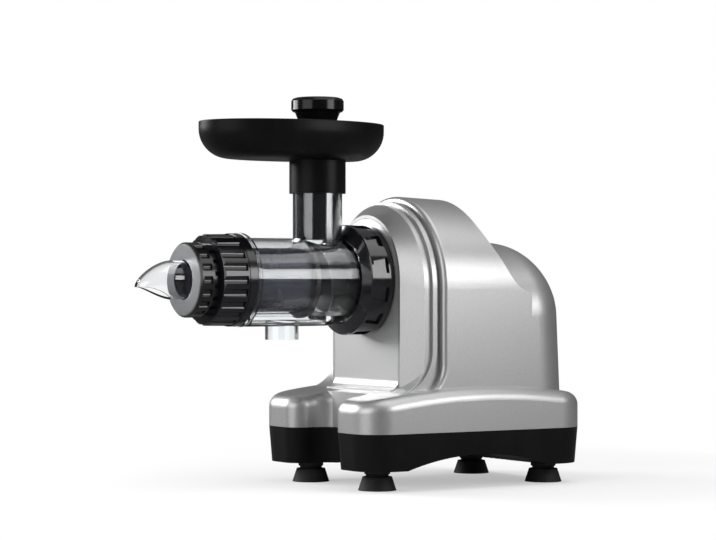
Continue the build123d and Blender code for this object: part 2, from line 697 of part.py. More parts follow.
def juicing_screen():
    """Slotted tube that lets the juice through and keeps the pulp in."""
    rear = FEED_FRONT_X - SCREEN_RING_THICK
    screen = ring_x(SCREEN_FRONT_X, rear, SCREEN_R, SCREEN_R - SCREEN_WALL)
    span = (rear - SCREEN_FRONT_X - 8) / SCREEN_SLOT_ROWS
    for row in range(SCREEN_SLOT_ROWS):
        x0 = SCREEN_FRONT_X + 6 + row * span
        for i in range(SCREEN_SLOTS):
            angle = (i - (SCREEN_SLOTS - 1) / 2) * 12.0
            slot = block(x0, x0 + span - 4, -SCREEN_SLOT_W / 2, SCREEN_SLOT_W / 2,
                         AXIS_Z - SCREEN_R - 1, AXIS_Z - SCREEN_R + SCREEN_WALL + 1)
            screen -= about_x(slot, angle)
    return screen


def screen_ring():
    """Black ring at the screen's rear; it seats on the step in the drum's bore."""
    rear = FEED_FRONT_X
    front = rear - SCREEN_RING_THICK
    ring = turned([
        (front, SCREEN_R - SCREEN_WALL), (rear, SCREEN_R - SCREEN_WALL),
        (rear, DRUM_R - DRUM_WALL - TEXTURE_SAFE), (front, DRUM_R - DRUM_WALL - TEXTURE_SAFE),
    ])
    return ring


def screen_front_ring():
    """Ring that centres the screen's front end in the drum."""
    x0 = DRUM_FRONT_X - DRUM_FRONT_FLANGE
    return ring_x(x0, x0 + 3.5, DRUM_R - DRUM_WALL - TEXTURE_SAFE, SCREEN_R - SCREEN_WALL) + \
        ring_x(x0 + 3.5, SCREEN_FRONT_X, SCREEN_R, SCREEN_R - SCREEN_WALL)


def drum_seal():
    """Lip seal between the drum's rear wall and the auger's tail."""
    return ring_x(DRUM_REAR_X - WALL - 3, DRUM_REAR_X - WALL, AUGER_TAIL_R + 5, AUGER_TAIL_R + GAP)


def flight(x0, x1, radius, start):
    """One helical flight, as a wedge twisted along the axis."""
    half = math.radians(FLIGHT_ANGLE / 2)
    tip = half * 0.45
    at = lambda r, a: (r * math.cos(a), r * math.sin(a))
    face = make_face([
        Line((0, 0), at(radius * 0.55, -half)),
        Line(at(radius * 0.55, -half), at(radius, -tip)),
        ThreePointArc(at(radius, -tip), at(radius, 0), at(radius, tip)),
        Line(at(radius, tip), at(radius * 0.55, half)),
        Line(at(radius * 0.55, half), (0, 0)),
    ])
    turns = 360 * (x1 - x0) / AUGER_PITCH
    section = Plane(origin=(x0, 0, AXIS_Z), x_dir=(0, 1, 0), z_dir=(1, 0, 0)) * (Rot(0, 0, start) * face)
    return Solid.extrude_linear_with_rotation(
        section.face().outer_wire(), (x0, 0, AXIS_Z), (x1 - x0, 0, 0), turns)


def auger():
    """Feeding and squeezing screw with a conical nose and a hexagonal drive socket."""
    rear = DRUM_REAR_X + 5
    press_x0 = DRUM_FRONT_X - DRUM_FRONT_FLANGE
    press_x1 = FEED_FRONT_X + 1
    core = turned([
        (NOSE_TIP_X, 0), (rear, 0), (rear, AUGER_TAIL_R), (FEED_FLIGHT_X1, AUGER_TAIL_R),
        (FEED_FLIGHT_X1 - 1, AUGER_CORE_REAR_R), (FEED_FRONT_X, AUGER_CORE_REAR_R + 2),
        (press_x0, AUGER_CORE_FRONT_R), (NOSE_TIP_X + 1.5, NOSE_TIP_R), (NOSE_TIP_X, NOSE_TIP_R - 1.5),
    ])
    press_r = SCREEN_R - SCREEN_WALL - GAP
    body = core + flight(press_x0, press_x1, press_r, 0)
    body += flight(FEED_FLIGHT_X0, FEED_FLIGHT_X1, FEED_BORE_R - GAP, 40)
    socket = extrude(Plane.YZ.offset(rear + 1) * RegularPolygon((HEX_AF + 2 * GAP) / 2, 6, major_radius=False),
                     -(HEX_DEPTH + 1))
    return body - Pos(0, 0, AXIS_Z) * socket


# ---------------------------------------------------------------- drum cap, dial and spout
def fluted(x0, x1, radius, count, depth, width):
    """Long rounded flutes round a knob or cap."""
    cutters = []
    cutter_r = (width**2 / 4 + depth**2) / (2 * depth)
    for i in range(count):
        cutter = ring_x(x0, x1, cutter_r, 0, 0, AXIS_Z + radius + cutter_r - depth)
        cutters.append(about_x(cutter, (i + 0.5) * 360 / count))
    return cutters


def drum_cap():
    """Black screw cap: it holds the screen, carries the hub and ends the press chamber."""
    flange_front = CAP_REAR_X - CAP_FLANGE
    cup = turned([
        (CAP_FRONT_X, 0), (CAP_REAR_X, 0), (CAP_REAR_X, CAP_R - 0.6), (CAP_REAR_X - 0.6, CAP_R),
        (flange_front, CAP_R), (flange_front, CAP_R - 0.6), (CAP_FRONT_X + 1.2, CAP_R - 0.9),
        (CAP_FRONT_X, CAP_R - 2.4),
    ])
    cup += ring_x(HUB_FRONT_X, CAP_FRONT_X + 1, HUB_R)
    inner_front = CAP_FRONT_X + CAP_WALL
    cup -= ring_x(inner_front, CAP_REAR_X + 1, CAP_R - CAP_WALL)
    cup += ring_x(inner_front - 0.5, inner_front + 12, SCREEN_R + 1, HUB_BORE_R)
    cup -= ring_x(HUB_FRONT_X - 1, CAP_REAR_X + 1, HUB_BORE_R)
    width = 2 * math.pi * CAP_R / CAP_FLUTES * 0.62
    for cutter in fluted(CAP_FRONT_X - 1, flange_front - 1.5, CAP_R - 0.75, CAP_FLUTES,
                         CAP_FLUTE_DEPTH, width):
        cup -= cutter
    lug_front = DRUM_FRONT_X - DRUM_FRONT_FLANGE - SPIGOT_LENGTH + LUG_THICK + GAP
    for lug in lugs(lug_front, lug_front + LUG_THICK - 1, CAP_R - CAP_WALL + 0.5,
                    SPIGOT_R + GAP):
        cup += lug
    return cup


def nozzle_dial():
    """Fluted dial that sets how hard the pulp is pressed."""
    rear = CAP_FRONT_X - GAP
    waist = rear - 5.5
    dial = turned([
        (DIAL_FRONT_X, DIAL_HOLE_R), (DIAL_FRONT_X, DIAL_R - 2.2), (DIAL_FRONT_X + 0.8, DIAL_R - 1.2),
        (DIAL_FRONT_X + 2.0, DIAL_R), (waist, DIAL_R), (waist, DIAL_R - 1.0), (rear, DIAL_R - 1.0),
        (rear, HUB_R + GAP), (DIAL_FRONT_X + DIAL_FACE, HUB_R + GAP),
        (DIAL_FRONT_X + DIAL_FACE, DIAL_HOLE_R),
    ])
    width = 2 * math.pi * DIAL_R / DIAL_FLUTES * 0.6
    for cutter in fluted(DIAL_FRONT_X + 3.2, waist - 1.2, DIAL_R, DIAL_FLUTES, 1.8, width):
        dial -= cutter
    notch = block(waist + 1.2, rear + 1, -1.8, 1.8, AXIS_Z + DIAL_R - 3.0, AXIS_Z + DIAL_R + 1)
    for i in range(DIAL_FLUTES):
        dial -= about_x(notch, i * 360 / DIAL_FLUTES)
    return dial


def pressure_sleeve():
    """Conical sleeve that the dial screws towards the auger's nose."""
    x0 = SLEEVE_FRONT_X
    x1 = x0 + SLEEVE_LENGTH
    outer = HUB_BORE_R - GAP
    return turned([
        (x0, SLEEVE_FRONT_BORE_R), (x1, SLEEVE_REAR_BORE_R), (x1, outer - 1), (x1 - 1, outer),
        (x0, outer),
    ])


def beak(x0, x1, radius):
    """Pointed dome that closes the tube's end, turned about the auger's axis."""
    tip = 1.4
    bulge = (x0 * 0.42 + x1 * 0.58, radius * 0.74)
    outline = make_face([
        Line((x0, 0), (x0, radius)),
        Spline((x0, radius), bulge, (x1, tip), tangents=((-1, -0.05), (-1, -1.3))),
        Line((x1, tip), (x1, 0)),
        Line((x1, 0), (x0, 0)),
    ])
    return Pos(0, 0, AXIS_Z) * revolve(outline, Axis.X)


def pulp_spout():
    """Clear tube with a beak, open below, that turns the pulp down."""
    inner_x = DIAL_FRONT_X + DIAL_FACE + TEXTURE_SAFE
    flange_x = inner_x + SPOUT_FLANGE
    spout = ring_x(SPOUT_TUBE_X, flange_x, SPOUT_R) + ring_x(inner_x, flange_x, SPOUT_FLANGE_R)
    spout += beak(SPOUT_TUBE_X, SPOUT_TIP_X, SPOUT_R)
    spout -= beak(SPOUT_TUBE_X, SPOUT_TIP_X + SPOUT_WALL, SPOUT_R - SPOUT_WALL)
    spout -= ring_x(SPOUT_TUBE_X - 1, flange_x + 1, SPOUT_R - SPOUT_WALL)
    low = AXIS_Z - SPOUT_R - 1
    mouth = side_prism(Polyline(
        (SPOUT_TIP_X - 1, AXIS_Z - 1.2), (SPOUT_TUBE_X - 5, AXIS_Z - SPOUT_R + 2),
        (SPOUT_TUBE_X - 3, low), (SPOUT_TIP_X - 1, low), close=True), SPOUT_R + 1)
    return spout - mouth


# ---------------------------------------------------------------- locking ring and seat
def lock_ring():
    """Gloss black ring that clamps the drum's flange to its seat."""
    rear = COWL_FRONT_X - GAP
    bevel_x = RING_FRONT_X - RING_BEVEL
    hole = DRUM_R + 0.6
    ring = turned([
        (bevel_x, hole), (bevel_x, hole + 1.6), (RING_FRONT_X, RING_R - 0.8),
        (RING_FRONT_X + 0.8, RING_R), (rear - 1.2, RING_R), (rear, RING_R - 1.2),
        (rear, RING_BORE_R), (REAR_FLANGE_X - GAP, RING_BORE_R), (REAR_FLANGE_X - GAP, hole),
    ])
    x0 = RING_FRONT_X + 3.0
    x1 = x0 + RING_POCKET_LENGTH
    outline = Polyline(
        (x0, -RING_POCKET_NARROW / 2), (x1, -RING_POCKET_WIDTH / 2),
        (x1, RING_POCKET_WIDTH / 2), (x0, RING_POCKET_NARROW / 2), close=True)
    pocket = extrude(Pos(0, 0, AXIS_Z + RING_R - RING_POCKET_DEPTH) * make_face(outline),
                     2 * RING_POCKET_DEPTH)
    for i in range(RING_POCKETS):
        ring -= about_x(pocket, (i + 0.5) * 360 / RING_POCKETS)
    lug_x = seat_lug_end() + GAP
    for lug in lugs(lug_x, lug_x + LUG_THICK, RING_BORE_R + 0.5, SEAT_R + GAP):
        ring += lug
    return ring


def seat_lug_end():
    return REAR_FLANGE_X + REAR_FLANGE_THICK + GAP + LUG_THICK


def drum_seat():
    """Fixed neck that the drum plugs into; its lugs hold the locking ring."""
    front = REAR_FLANGE_X + REAR_FLANGE_THICK + GAP
    rear = SEAT_FLANGE_X + SEAT_FLANGE
    bore = DRUM_R + TEXTURE_SAFE
    seat = turned([
        (front, bore), (front, SEAT_R), (SEAT_FLANGE_X, SEAT_R), (SEAT_FLANGE_X, SEAT_FLANGE_R),
        (rear, SEAT_FLANGE_R), (rear, bore),
    ])
    for lug in lugs(front, seat_lug_end(), SEAT_LUG_R, SEAT_R - 0.5):
        seat += lug
    for y, z in seat_screw_points():
        seat -= ring_x(SEAT_FLANGE_X - 1, rear + 1, SCREW_R + FIT, 0, y, z)
    return seat


def seat_screw_points():
    angles = [math.radians(45 + 90 * i) for i in range(4)]
    return [(SEAT_SCREW_R * math.cos(a), AXIS_Z + SEAT_SCREW_R * math.sin(a)) for a in angles]


def seat_screws():
    return group(screw_x(y, z, SEAT_FLANGE_X - SCREW_HEAD_H, PLATE_X - 2)
                 for y, z in seat_screw_points())


# ---------------------------------------------------------------- feed tray and pusher
def feed_tray():
    """Oval bowl with a collar that fits over the chute."""
    def bowl(inset):
        oval = Pos(BOWL_CENTRE_X, 0, BOWL_FLOOR_Z + inset) * Ellipse(
            BOWL_HALF_X - inset, BOWL_HALF_Y - inset)
        solid = extrude(oval, BOWL_RIM_Z - BOWL_FLOOR_Z)
        return fillet(solid.faces().sort_by(Axis.Z)[0].edges(), BOWL_CORNER_R - inset)

    tray = bowl(0) - bowl(BOWL_WALL)
    tray += ring_z(COLLAR_BOTTOM_Z, BOWL_FLOOR_Z + 1, COLLAR_R, 0, CHUTE_X)
    tray -= ring_z(COLLAR_BOTTOM_Z - 1, CHUTE_TOP_Z + GAP, CHUTE_R + TEXTURE_SAFE, 0, CHUTE_X)
    tray -= ring_z(COLLAR_BOTTOM_Z, BOWL_RIM_Z, CHUTE_BORE_R + TEXTURE_SAFE, 0, CHUTE_X)
    rim = tray.faces().sort_by(Axis.Z)[-1].edges()
    return fillet(rim, BOWL_WALL / 2 - 0.3)


def pusher_shaft():
    """Hollow plunger; a flange rests it on the tray's floor."""
    low = PUSHER_BOTTOM_Z
    seat = pusher_seat_z + 0.1
    top = KNOB_TOP_Z - KNOB_H - KNOB_WAIST_H
    return turned_z([
        (0, low), (PUSHER_R - 1.5, low), (PUSHER_R, low + 1.5), (PUSHER_R, seat),
        (PUSHER_FLANGE_R, seat), (PUSHER_FLANGE_R, seat + 2.4), (PUSHER_NECK_R, seat + 2.4),
        (PUSHER_NECK_R, top), (PUSHER_NECK_R - WALL, top), (PUSHER_NECK_R - WALL, low + WALL),
        (0, low + WALL),
    ], CHUTE_X)


def pusher_cap():
    """Knob on the pusher, waisted below for the fingers."""
    waist_z = KNOB_TOP_Z - KNOB_H
    low = waist_z - KNOB_WAIST_H
    cap = turned_z([
        (0, low), (PUSHER_NECK_R, low), (KNOB_WAIST_R, waist_z), (KNOB_R - 1.5, waist_z),
        (KNOB_R, waist_z + 1.5), (KNOB_R, KNOB_TOP_Z - 3.2), (KNOB_R - 1.2, KNOB_TOP_Z - 1.2),
        (KNOB_R - 4.0, KNOB_TOP_Z - 0.3), (KNOB_R - 10.0, KNOB_TOP_Z), (0, KNOB_TOP_Z),
    ], CHUTE_X)
    return cap


# ---------------------------------------------------------------- gears and shafts
def gear_points(teeth, module):
    """Outline of a gear with involute flanks, as (angle, radius) round the wheel."""
    pitch_r = module * teeth / 2
    base_r = pitch_r * math.cos(PRESSURE_ANGLE)
    tip_r = pitch_r + ADDENDUM * module
    root_r = pitch_r - DEDENDUM * module
    involute = lambda r: math.tan(math.acos(base_r / r)) - math.acos(base_r / r)
    half_pitch = math.pi / (2 * teeth) - BACKLASH * module / pitch_r
    flank = []
    for r in (root_r, pitch_r, tip_r):
        inside = max(r, base_r)
        flank.append((half_pitch + involute(pitch_r) - involute(inside), r))
    points = []
    for tooth in range(teeth):
        middle = 2 * math.pi * tooth / teeth
        points += [(middle - half, r) for half, r in flank]
        points += [(middle + half, r) for half, r in reversed(flank)]
    return points


def gear(teeth, module, x0, face, y, z, phase):
    """Spur gear on an axis along X; phase turns its first tooth up from +Y, in degrees."""
    points = [(r * math.cos(a), r * math.sin(a)) for a, r in gear_points(teeth, module)]
    blank = extrude(make_face(Polyline(*points, close=True)), face)
    upright = Plane(origin=(x0, y, z), x_dir=(0, 1, 0), z_dir=(1, 0, 0))
    return upright * (Rot(0, 0, phase) * blank)


def mesh_phase(driver_phase, driver_teeth, teeth, direction):
    """Phase that puts a gap of this gear opposite the driver's tooth.

    direction is the angle in degrees from the driver's centre to this gear's."""
    offset = (direction - driver_phase) * driver_teeth / teeth
    return direction + 180 + offset + 180 / teeth


to_idler = math.degrees(math.atan2(IDLER_Z - AXIS_Z, IDLER_Y))
from_idler_to_motor = math.degrees(math.atan2(MOTOR_Z - IDLER_Z, -IDLER_Y))
output_phase = to_idler
idler_pinion_phase = mesh_phase(output_phase, TEETH_OUTPUT, TEETH_PINION, to_idler)
wheel_phase = from_idler_to_motor
motor_pinion_phase = mesh_phase(wheel_phase, TEETH_WHEEL, TEETH_PINION, from_idler_to_motor)


def output_gear():
    x1 = OUTPUT_GEAR_X + OUTPUT_GEAR_FACE
    wheel = gear(TEETH_OUTPUT, MODULE_SLOW, OUTPUT_GEAR_X, OUTPUT_GEAR_FACE, 0, AXIS_Z, output_phase)
    wheel -= ring_x(OUTPUT_GEAR_X - 1, OUTPUT_GEAR_X + 4, 27, 14)
    wheel -= ring_x(x1 - 4, x1 + 1, 27, 14)
    return wheel - ring_x(OUTPUT_GEAR_X - 1, x1 + 1, OUTPUT_SHAFT_R + FIT)


def output_shaft():
    nose = DRUM_REAR_X + 5 - HEX_DEPTH + 1
    rod = ring_x(PLATE_X - 8, CASE_REAR_X + 1, OUTPUT_SHAFT_R)
    hexagon = extrude(Plane.YZ.offset(nose) * RegularPolygon(HEX_AF / 2, 6, major_radius=False),
                      PLATE_X - 8 - nose)
    collar = ring_x(OUTPUT_GEAR_X + OUTPUT_GEAR_FACE, OUTPUT_GEAR_X + OUTPUT_GEAR_FACE + 3,
                    OUTPUT_SHAFT_R + 3)
    return rod + Pos(0, 0, AXIS_Z) * hexagon + collar


def idler_shaft():
    """Steel shaft with the slow pinion cut on it."""
    rod = ring_x(PLATE_X + 1, CASE_REAR_X - 0.5, IDLER_SHAFT_R, 0, IDLER_Y, IDLER_Z)
    return rod + gear(TEETH_PINION, MODULE_SLOW, OUTPUT_GEAR_X - 1, OUTPUT_GEAR_FACE + 2,
                      IDLER_Y, IDLER_Z, idler_pinion_phase)


def idler_wheel():
    wheel = gear(TEETH_WHEEL, MODULE_FAST, WHEEL_X, WHEEL_FACE, IDLER_Y, IDLER_Z, wheel_phase)
    wheel += ring_x(WHEEL_X - 3, WHEEL_X, 9, 0, IDLER_Y, IDLER_Z)
    return wheel - ring_x(WHEEL_X - 4, WHEEL_X + WHEEL_FACE + 1, IDLER_SHAFT_R + FIT, 0,
                          IDLER_Y, IDLER_Z)


def motor_shaft():
    """Rotor shaft with the fast pinion cut on its end."""
    end = FAN_X + FAN_WIDTH
    rod = ring_x(WHEEL_X - 1, end, MOTOR_SHAFT_R, 0, 0, MOTOR_Z)
    return rod + gear(TEETH_PINION, MODULE_FAST, WHEEL_X - 1, WHEEL_FACE + 2, 0, MOTOR_Z,
                      motor_pinion_phase)


# ---------------------------------------------------------------- gearbox
def case_outline(grow):
    """Belt-shaped outline round the output gear and the idler wheel."""
    output_r = MODULE_SLOW * (TEETH_OUTPUT / 2 + ADDENDUM) + CASE_MARGIN + grow
    wheel_r = MODULE_FAST * (TEETH_WHEEL / 2 + ADDENDUM) + CASE_MARGIN + grow
    pinion_r = MODULE_FAST * (TEETH_PINION / 2 + ADDENDUM) + CASE_MARGIN + grow
    circles = [Pos(0, AXIS_Z) * Circle(output_r), Pos(IDLER_Y, IDLER_Z) * Circle(wheel_r),
               Pos(0, MOTOR_Z) * Circle(pinion_r)]
    edges = [edge for circle in circles for edge in circle.edges()]
    return make_hull(edges)


def case_screw_points():
    """Round the case, clear of the gears and of the case's wall."""
    beyond = CASE_MARGIN + SCREW_HEAD_R + GAP
    output_r = MODULE_SLOW * (TEETH_OUTPUT / 2 + ADDENDUM) + beyond
    wheel_r = MODULE_FAST * (TEETH_WHEEL / 2 + ADDENDUM) + beyond
    around = [(0, AXIS_Z, output_r, 75), (0, AXIS_Z, output_r, 130), (0, AXIS_Z, output_r, 185),
              (IDLER_Y, IDLER_Z, wheel_r, 35), (IDLER_Y, IDLER_Z, wheel_r, -45)]
    return [(y + r * math.cos(math.radians(a)), z + r * math.sin(math.radians(a)))
            for y, z, r, a in around]


def gearbox_plate():
    """Aluminium front plate: bearing seats and the posts that carry the drum seat."""
    x1 = PLATE_X + PLATE_THICK
    plate = extrude(Plane.YZ.offset(PLATE_X) * case_outline(0), PLATE_THICK)
    for y, z in case_screw_points():
        plate += ring_x(PLATE_X, x1, 5, 0, y, z)
    plate += ring_x(PLATE_X - 5, PLATE_X, BEARING_R + 3)
    for y, z in seat_screw_points():
        plate += ring_x(SEAT_FLANGE_X + SEAT_FLANGE, x1, 4.5, 0, y, z)
        plate -= ring_x(SEAT_FLANGE_X, PLATE_X - 1, SCREW_R, 0, y, z)
    plate -= ring_x(PLATE_X - 6, x1 + 1, BEARING_R)
    plate -= ring_x(PLATE_X + 1 - FIT, x1 + 1, BUSH_R, 0, IDLER_Y, IDLER_Z)
    for y, z in case_screw_points():
        plate -= ring_x(PLATE_X + 1, x1 + 1, SCREW_R, 0, y, z)
    return plate


def gearbox_case():
    """Rear half of the gearbox, with legs down to the chassis plate."""
    x0 = PLATE_X + PLATE_THICK
    case = extrude(Plane.YZ.offset(x0) * case_outline(0), CASE_REAR_X - x0)
    for y, z in case_screw_points():
        case += ring_x(x0, x0 + 16, 5, 0, y, z)
    case += ring_x(CASE_REAR_X - 1, CASE_REAR_X + 3, BEARING_R + 3)
    case -= extrude(Plane.YZ.offset(x0 - 1) * case_outline(-CASE_WALL), CASE_REAR_X - CASE_WALL - x0 + 1)
    case += ring_x(CASE_REAR_X - CASE_WALL - 3, CASE_REAR_X, BEARING_R + 3)
    for y0, y1 in ((-22.0, -12.0), (34.0, 44.0)):
        leg = block(x0 + 4, CASE_REAR_X - 4, y0, y1, CHASSIS_Z + CHASSIS_THICK, IDLER_Z)
        case += leg - extrude(Plane.YZ.offset(x0 - 1) * case_outline(-CASE_WALL / 2), CASE_REAR_X)
    case -= ring_x(CASE_REAR_X - CASE_WALL - 4, CASE_REAR_X + 1, BEARING_R)
    case -= ring_x(CASE_REAR_X, CASE_REAR_X + 4, OUTPUT_SHAFT_R + GAP)
    case -= ring_x(CASE_REAR_X - CASE_WALL - 1, CASE_REAR_X + 1, BUSH_R, 0, IDLER_Y, IDLER_Z)
    pinion_r = MODULE_FAST * (TEETH_PINION / 2 + ADDENDUM) + GAP
    case -= ring_x(CASE_REAR_X - CASE_WALL - 1, CASE_REAR_X + 4, pinion_r, 0, 0, MOTOR_Z)
    for y, z in case_screw_points():
        case -= ring_x(x0 - 1, x0 + 17, SCREW_R + FIT, 0, y, z)
    return case


def gearbox_screws():
    x0 = PLATE_X + PLATE_THICK + 16 + SCREW_HEAD_H
    return group(screw_x(y, z, x0, PLATE_X + 2) for y, z in case_screw_points())


def bearing(x0, x1, outer, shaft, y=0.0, z=AXIS_Z):
    return ring_x(x0, x1, outer - FIT, shaft + RUN, y, z)


# ---------------------------------------------------------------- motor
def motor_bracket(x0):
    """Die-cast end bracket with a foot and cooling windows."""
    edges = list((Pos(0, MOTOR_Z) * Circle(BRACKET_R)).edges())
    foot_z = CHASSIS_Z + CHASSIS_THICK
    edges += list((Pos(0, foot_z + 3) * Rectangle(64, 6)).edges())
    plate = extrude(Plane.YZ.offset(x0) * make_hull(edges), BRACKET_THICK)
    x1 = x0 + BRACKET_THICK
    plate -= ring_x(x0 - 1, x1 + 1, MOTOR_BEARING_R, 0, 0, MOTOR_Z)
    for i in range(6):
        window = sector_x(x0 - 1, x1 + 1, 33, 17, i * 60 + 12, 36)
        plate -= Pos(0, 0, MOTOR_Z - AXIS_Z) * window
    for y, z in motor_bolt_points():
        plate -= ring_x(x0 - 1, x1 + 1, SCREW_R + FIT, 0, y, z)
    return plate


def motor_bolt_points():
    angles = [math.radians(45 + 90 * i) for i in range(4)]
    r = BRACKET_R - 2.8
    return [(r * math.cos(a), MOTOR_Z + r * math.sin(a)) for a in angles]


def motor_bolts():
    x0 = MOTOR_FRONT_X - SCREW_HEAD_H
    return group(screw_x(y, z, x0, MOTOR_REAR_X) for y, z in motor_bolt_points())


def slot_tools(clearance, outer, inner, x0, x1):
    """One block for each stator slot."""
    half = 2.6 - clearance
    tool = block(x0, x1, -half, half, MOTOR_Z + inner, MOTOR_Z + outer)
    return [about_x(tool, i * 360 / STATOR_SLOTS, 0, MOTOR_Z) for i in range(STATOR_SLOTS)]


def motor_stator():
    stack = ring_x(STATOR_X0, STATOR_X1, STATOR_R, STATOR_BORE_R, 0, MOTOR_Z)
    for tool in slot_tools(0, 33, STATOR_BORE_R - 1, STATOR_X0 - 1, STATOR_X1 + 1):
        stack -= tool
    for y, z in motor_bolt_points():
        stack -= ring_x(STATOR_X0 - 1, STATOR_X1 + 1, SCREW_R + FIT, 0, y, z)
    return stack


def motor_windings():
    """Copper: end turns on both sides, joined through the stator's slots."""
    ends = []
    for x0, x1 in ((STATOR_X0 - 7, STATOR_X0 - 1), (STATOR_X1 + 1, STATOR_X1 + 7)):
        ends.append(turned([
            (x0, 27), (x0, 31), (x0 + 1, 32.6), (x1 - 1, 32.6), (x1, 31), (x1, 27),
            (x1 - 1, 25.4), (x0 + 1, 25.4),
        ], 0, MOTOR_Z))
    coil = ends[0] + ends[1]
    for tool in slot_tools(0.3, 32.4, 26, STATOR_X0 - 3, STATOR_X1 + 3):
        coil += tool
    return coil


def rotor_core():
    return ring_x(STATOR_X0, STATOR_X1, ROTOR_R, MOTOR_SHAFT_R + FIT, 0, MOTOR_Z)


def cooling_fan():
    x1 = FAN_X + FAN_WIDTH
    fan = ring_x(FAN_X, x1, 8, 0, 0, MOTOR_Z) + ring_x(x1 - 1.6, x1, FAN_R, 0, 0, MOTOR_Z)
    blade = block(FAN_X, x1, -0.9, 0.9, MOTOR_Z + 6, MOTOR_Z + FAN_R - 1)
    for i in range(FAN_BLADES):
        fan += about_x(blade, i * 360 / FAN_BLADES, 0, MOTOR_Z)
    return fan - ring_x(FAN_X - 1, x1 + 1, MOTOR_SHAFT_R + FIT, 0, 0, MOTOR_Z)


def chassis_plate():
    """Pressed steel plate that carries gearbox and motor on rubber mounts."""
    z1 = CHASSIS_Z + CHASSIS_THICK
    plate = block(CHASSIS_X0, CHASSIS_X1, -CHASSIS_HALF_Y, CHASSIS_HALF_Y, CHASSIS_Z, z1)
    plate = fillet(plate.edges().filter_by(Axis.Z), 8)
    for s in (-1, 1):
        edge = sorted([s * (CHASSIS_HALF_Y - CHASSIS_THICK), s * CHASSIS_HALF_Y])
        plate += block(CHASSIS_X0 + 20, CHASSIS_X1 - 20, *edge, z1, z1 + 6)
    for x, y in MOUNT_POINTS:
        plate -= ring_z(CHASSIS_Z - 1, z1 + 1, SCREW_R + FIT, 0, x, y)
    return plate


def motor_mounts():
    return group(
        turned_z([
            (SCREW_R + FIT, tray_post_top), (MOUNT_R, tray_post_top),
            (MOUNT_R - 1.5, tray_post_top + MOUNT_H / 2), (MOUNT_R, CHASSIS_Z),
            (SCREW_R + FIT, CHASSIS_Z),
        ], x, y) for x, y in MOUNT_POINTS)


def mount_screws():
    top = CHASSIS_Z + CHASSIS_THICK
    return group(
        ring_z(top, top + SCREW_HEAD_H, SCREW_HEAD_R, 0, x, y)
        + ring_z(tray_post_top - 10, top, SCREW_R, 0, x, y) for x, y in MOUNT_POINTS)


def run_capacitor():
    z = CHASSIS_Z + CHASSIS_THICK + CAPACITOR_R + 3
    x0 = MOTOR_FRONT_X + BRACKET_THICK + 3
    can = ring_x(x0, x0 + CAPACITOR_LENGTH, CAPACITOR_R, 0, CAPACITOR_Y, z)
    return can + ring_x(x0, x0 + CAPACITOR_LENGTH + 4, 4, 0, CAPACITOR_Y, z)


# ---------------------------------------------------------------- switch
def switch_body():
    """Bezel and body of the three-position switch in the side wall."""
    y0 = HUMP_HALF_Y
    inner = HUMP_HALF_Y - 16
    shape = block(SWITCH_X - SWITCH_HALF_X, SWITCH_X + SWITCH_HALF_X, y0, y0 + SWITCH_BEZEL,
                  SWITCH_Z - SWITCH_HALF_Z, SWITCH_Z + SWITCH_HALF_Z)
    shape = fillet(shape.edges().filter_by(Axis.Y), 2.5)
    step = 1 + FIT
    shape += block(SWITCH_X - SWITCH_HALF_X + step, SWITCH_X + SWITCH_HALF_X - step, inner, y0,
                   SWITCH_Z - SWITCH_HALF_Z + step, SWITCH_Z + SWITCH_HALF_Z - step)
    shape -= block(SWITCH_X - ROCKER_HALF_X - GAP, SWITCH_X + ROCKER_HALF_X + GAP,
                   y0 - 8, y0 + SWITCH_BEZEL + 1,
                   SWITCH_Z - ROCKER_HALF_Z - 2 * GAP, SWITCH_Z + ROCKER_HALF_Z + 2 * GAP)
    return shape


def switch_rocker():
    y = HUMP_HALF_Y + SWITCH_BEZEL
    face = make_face(Polyline(
        (y + 2.0, SWITCH_Z - ROCKER_HALF_Z + 0.8), (y + 0.4, SWITCH_Z), (y + 2.0, SWITCH_Z + ROCKER_HALF_Z - 0.8),
        (y - 1.0, SWITCH_Z + ROCKER_HALF_Z), (y - 6.0, SWITCH_Z + 6), (y - 6.0, SWITCH_Z - 6),
        (y - 1.0, SWITCH_Z - ROCKER_HALF_Z), close=True))
    return extrude(Plane.YZ.offset(SWITCH_X - ROCKER_HALF_X) * face, 2 * ROCKER_HALF_X)


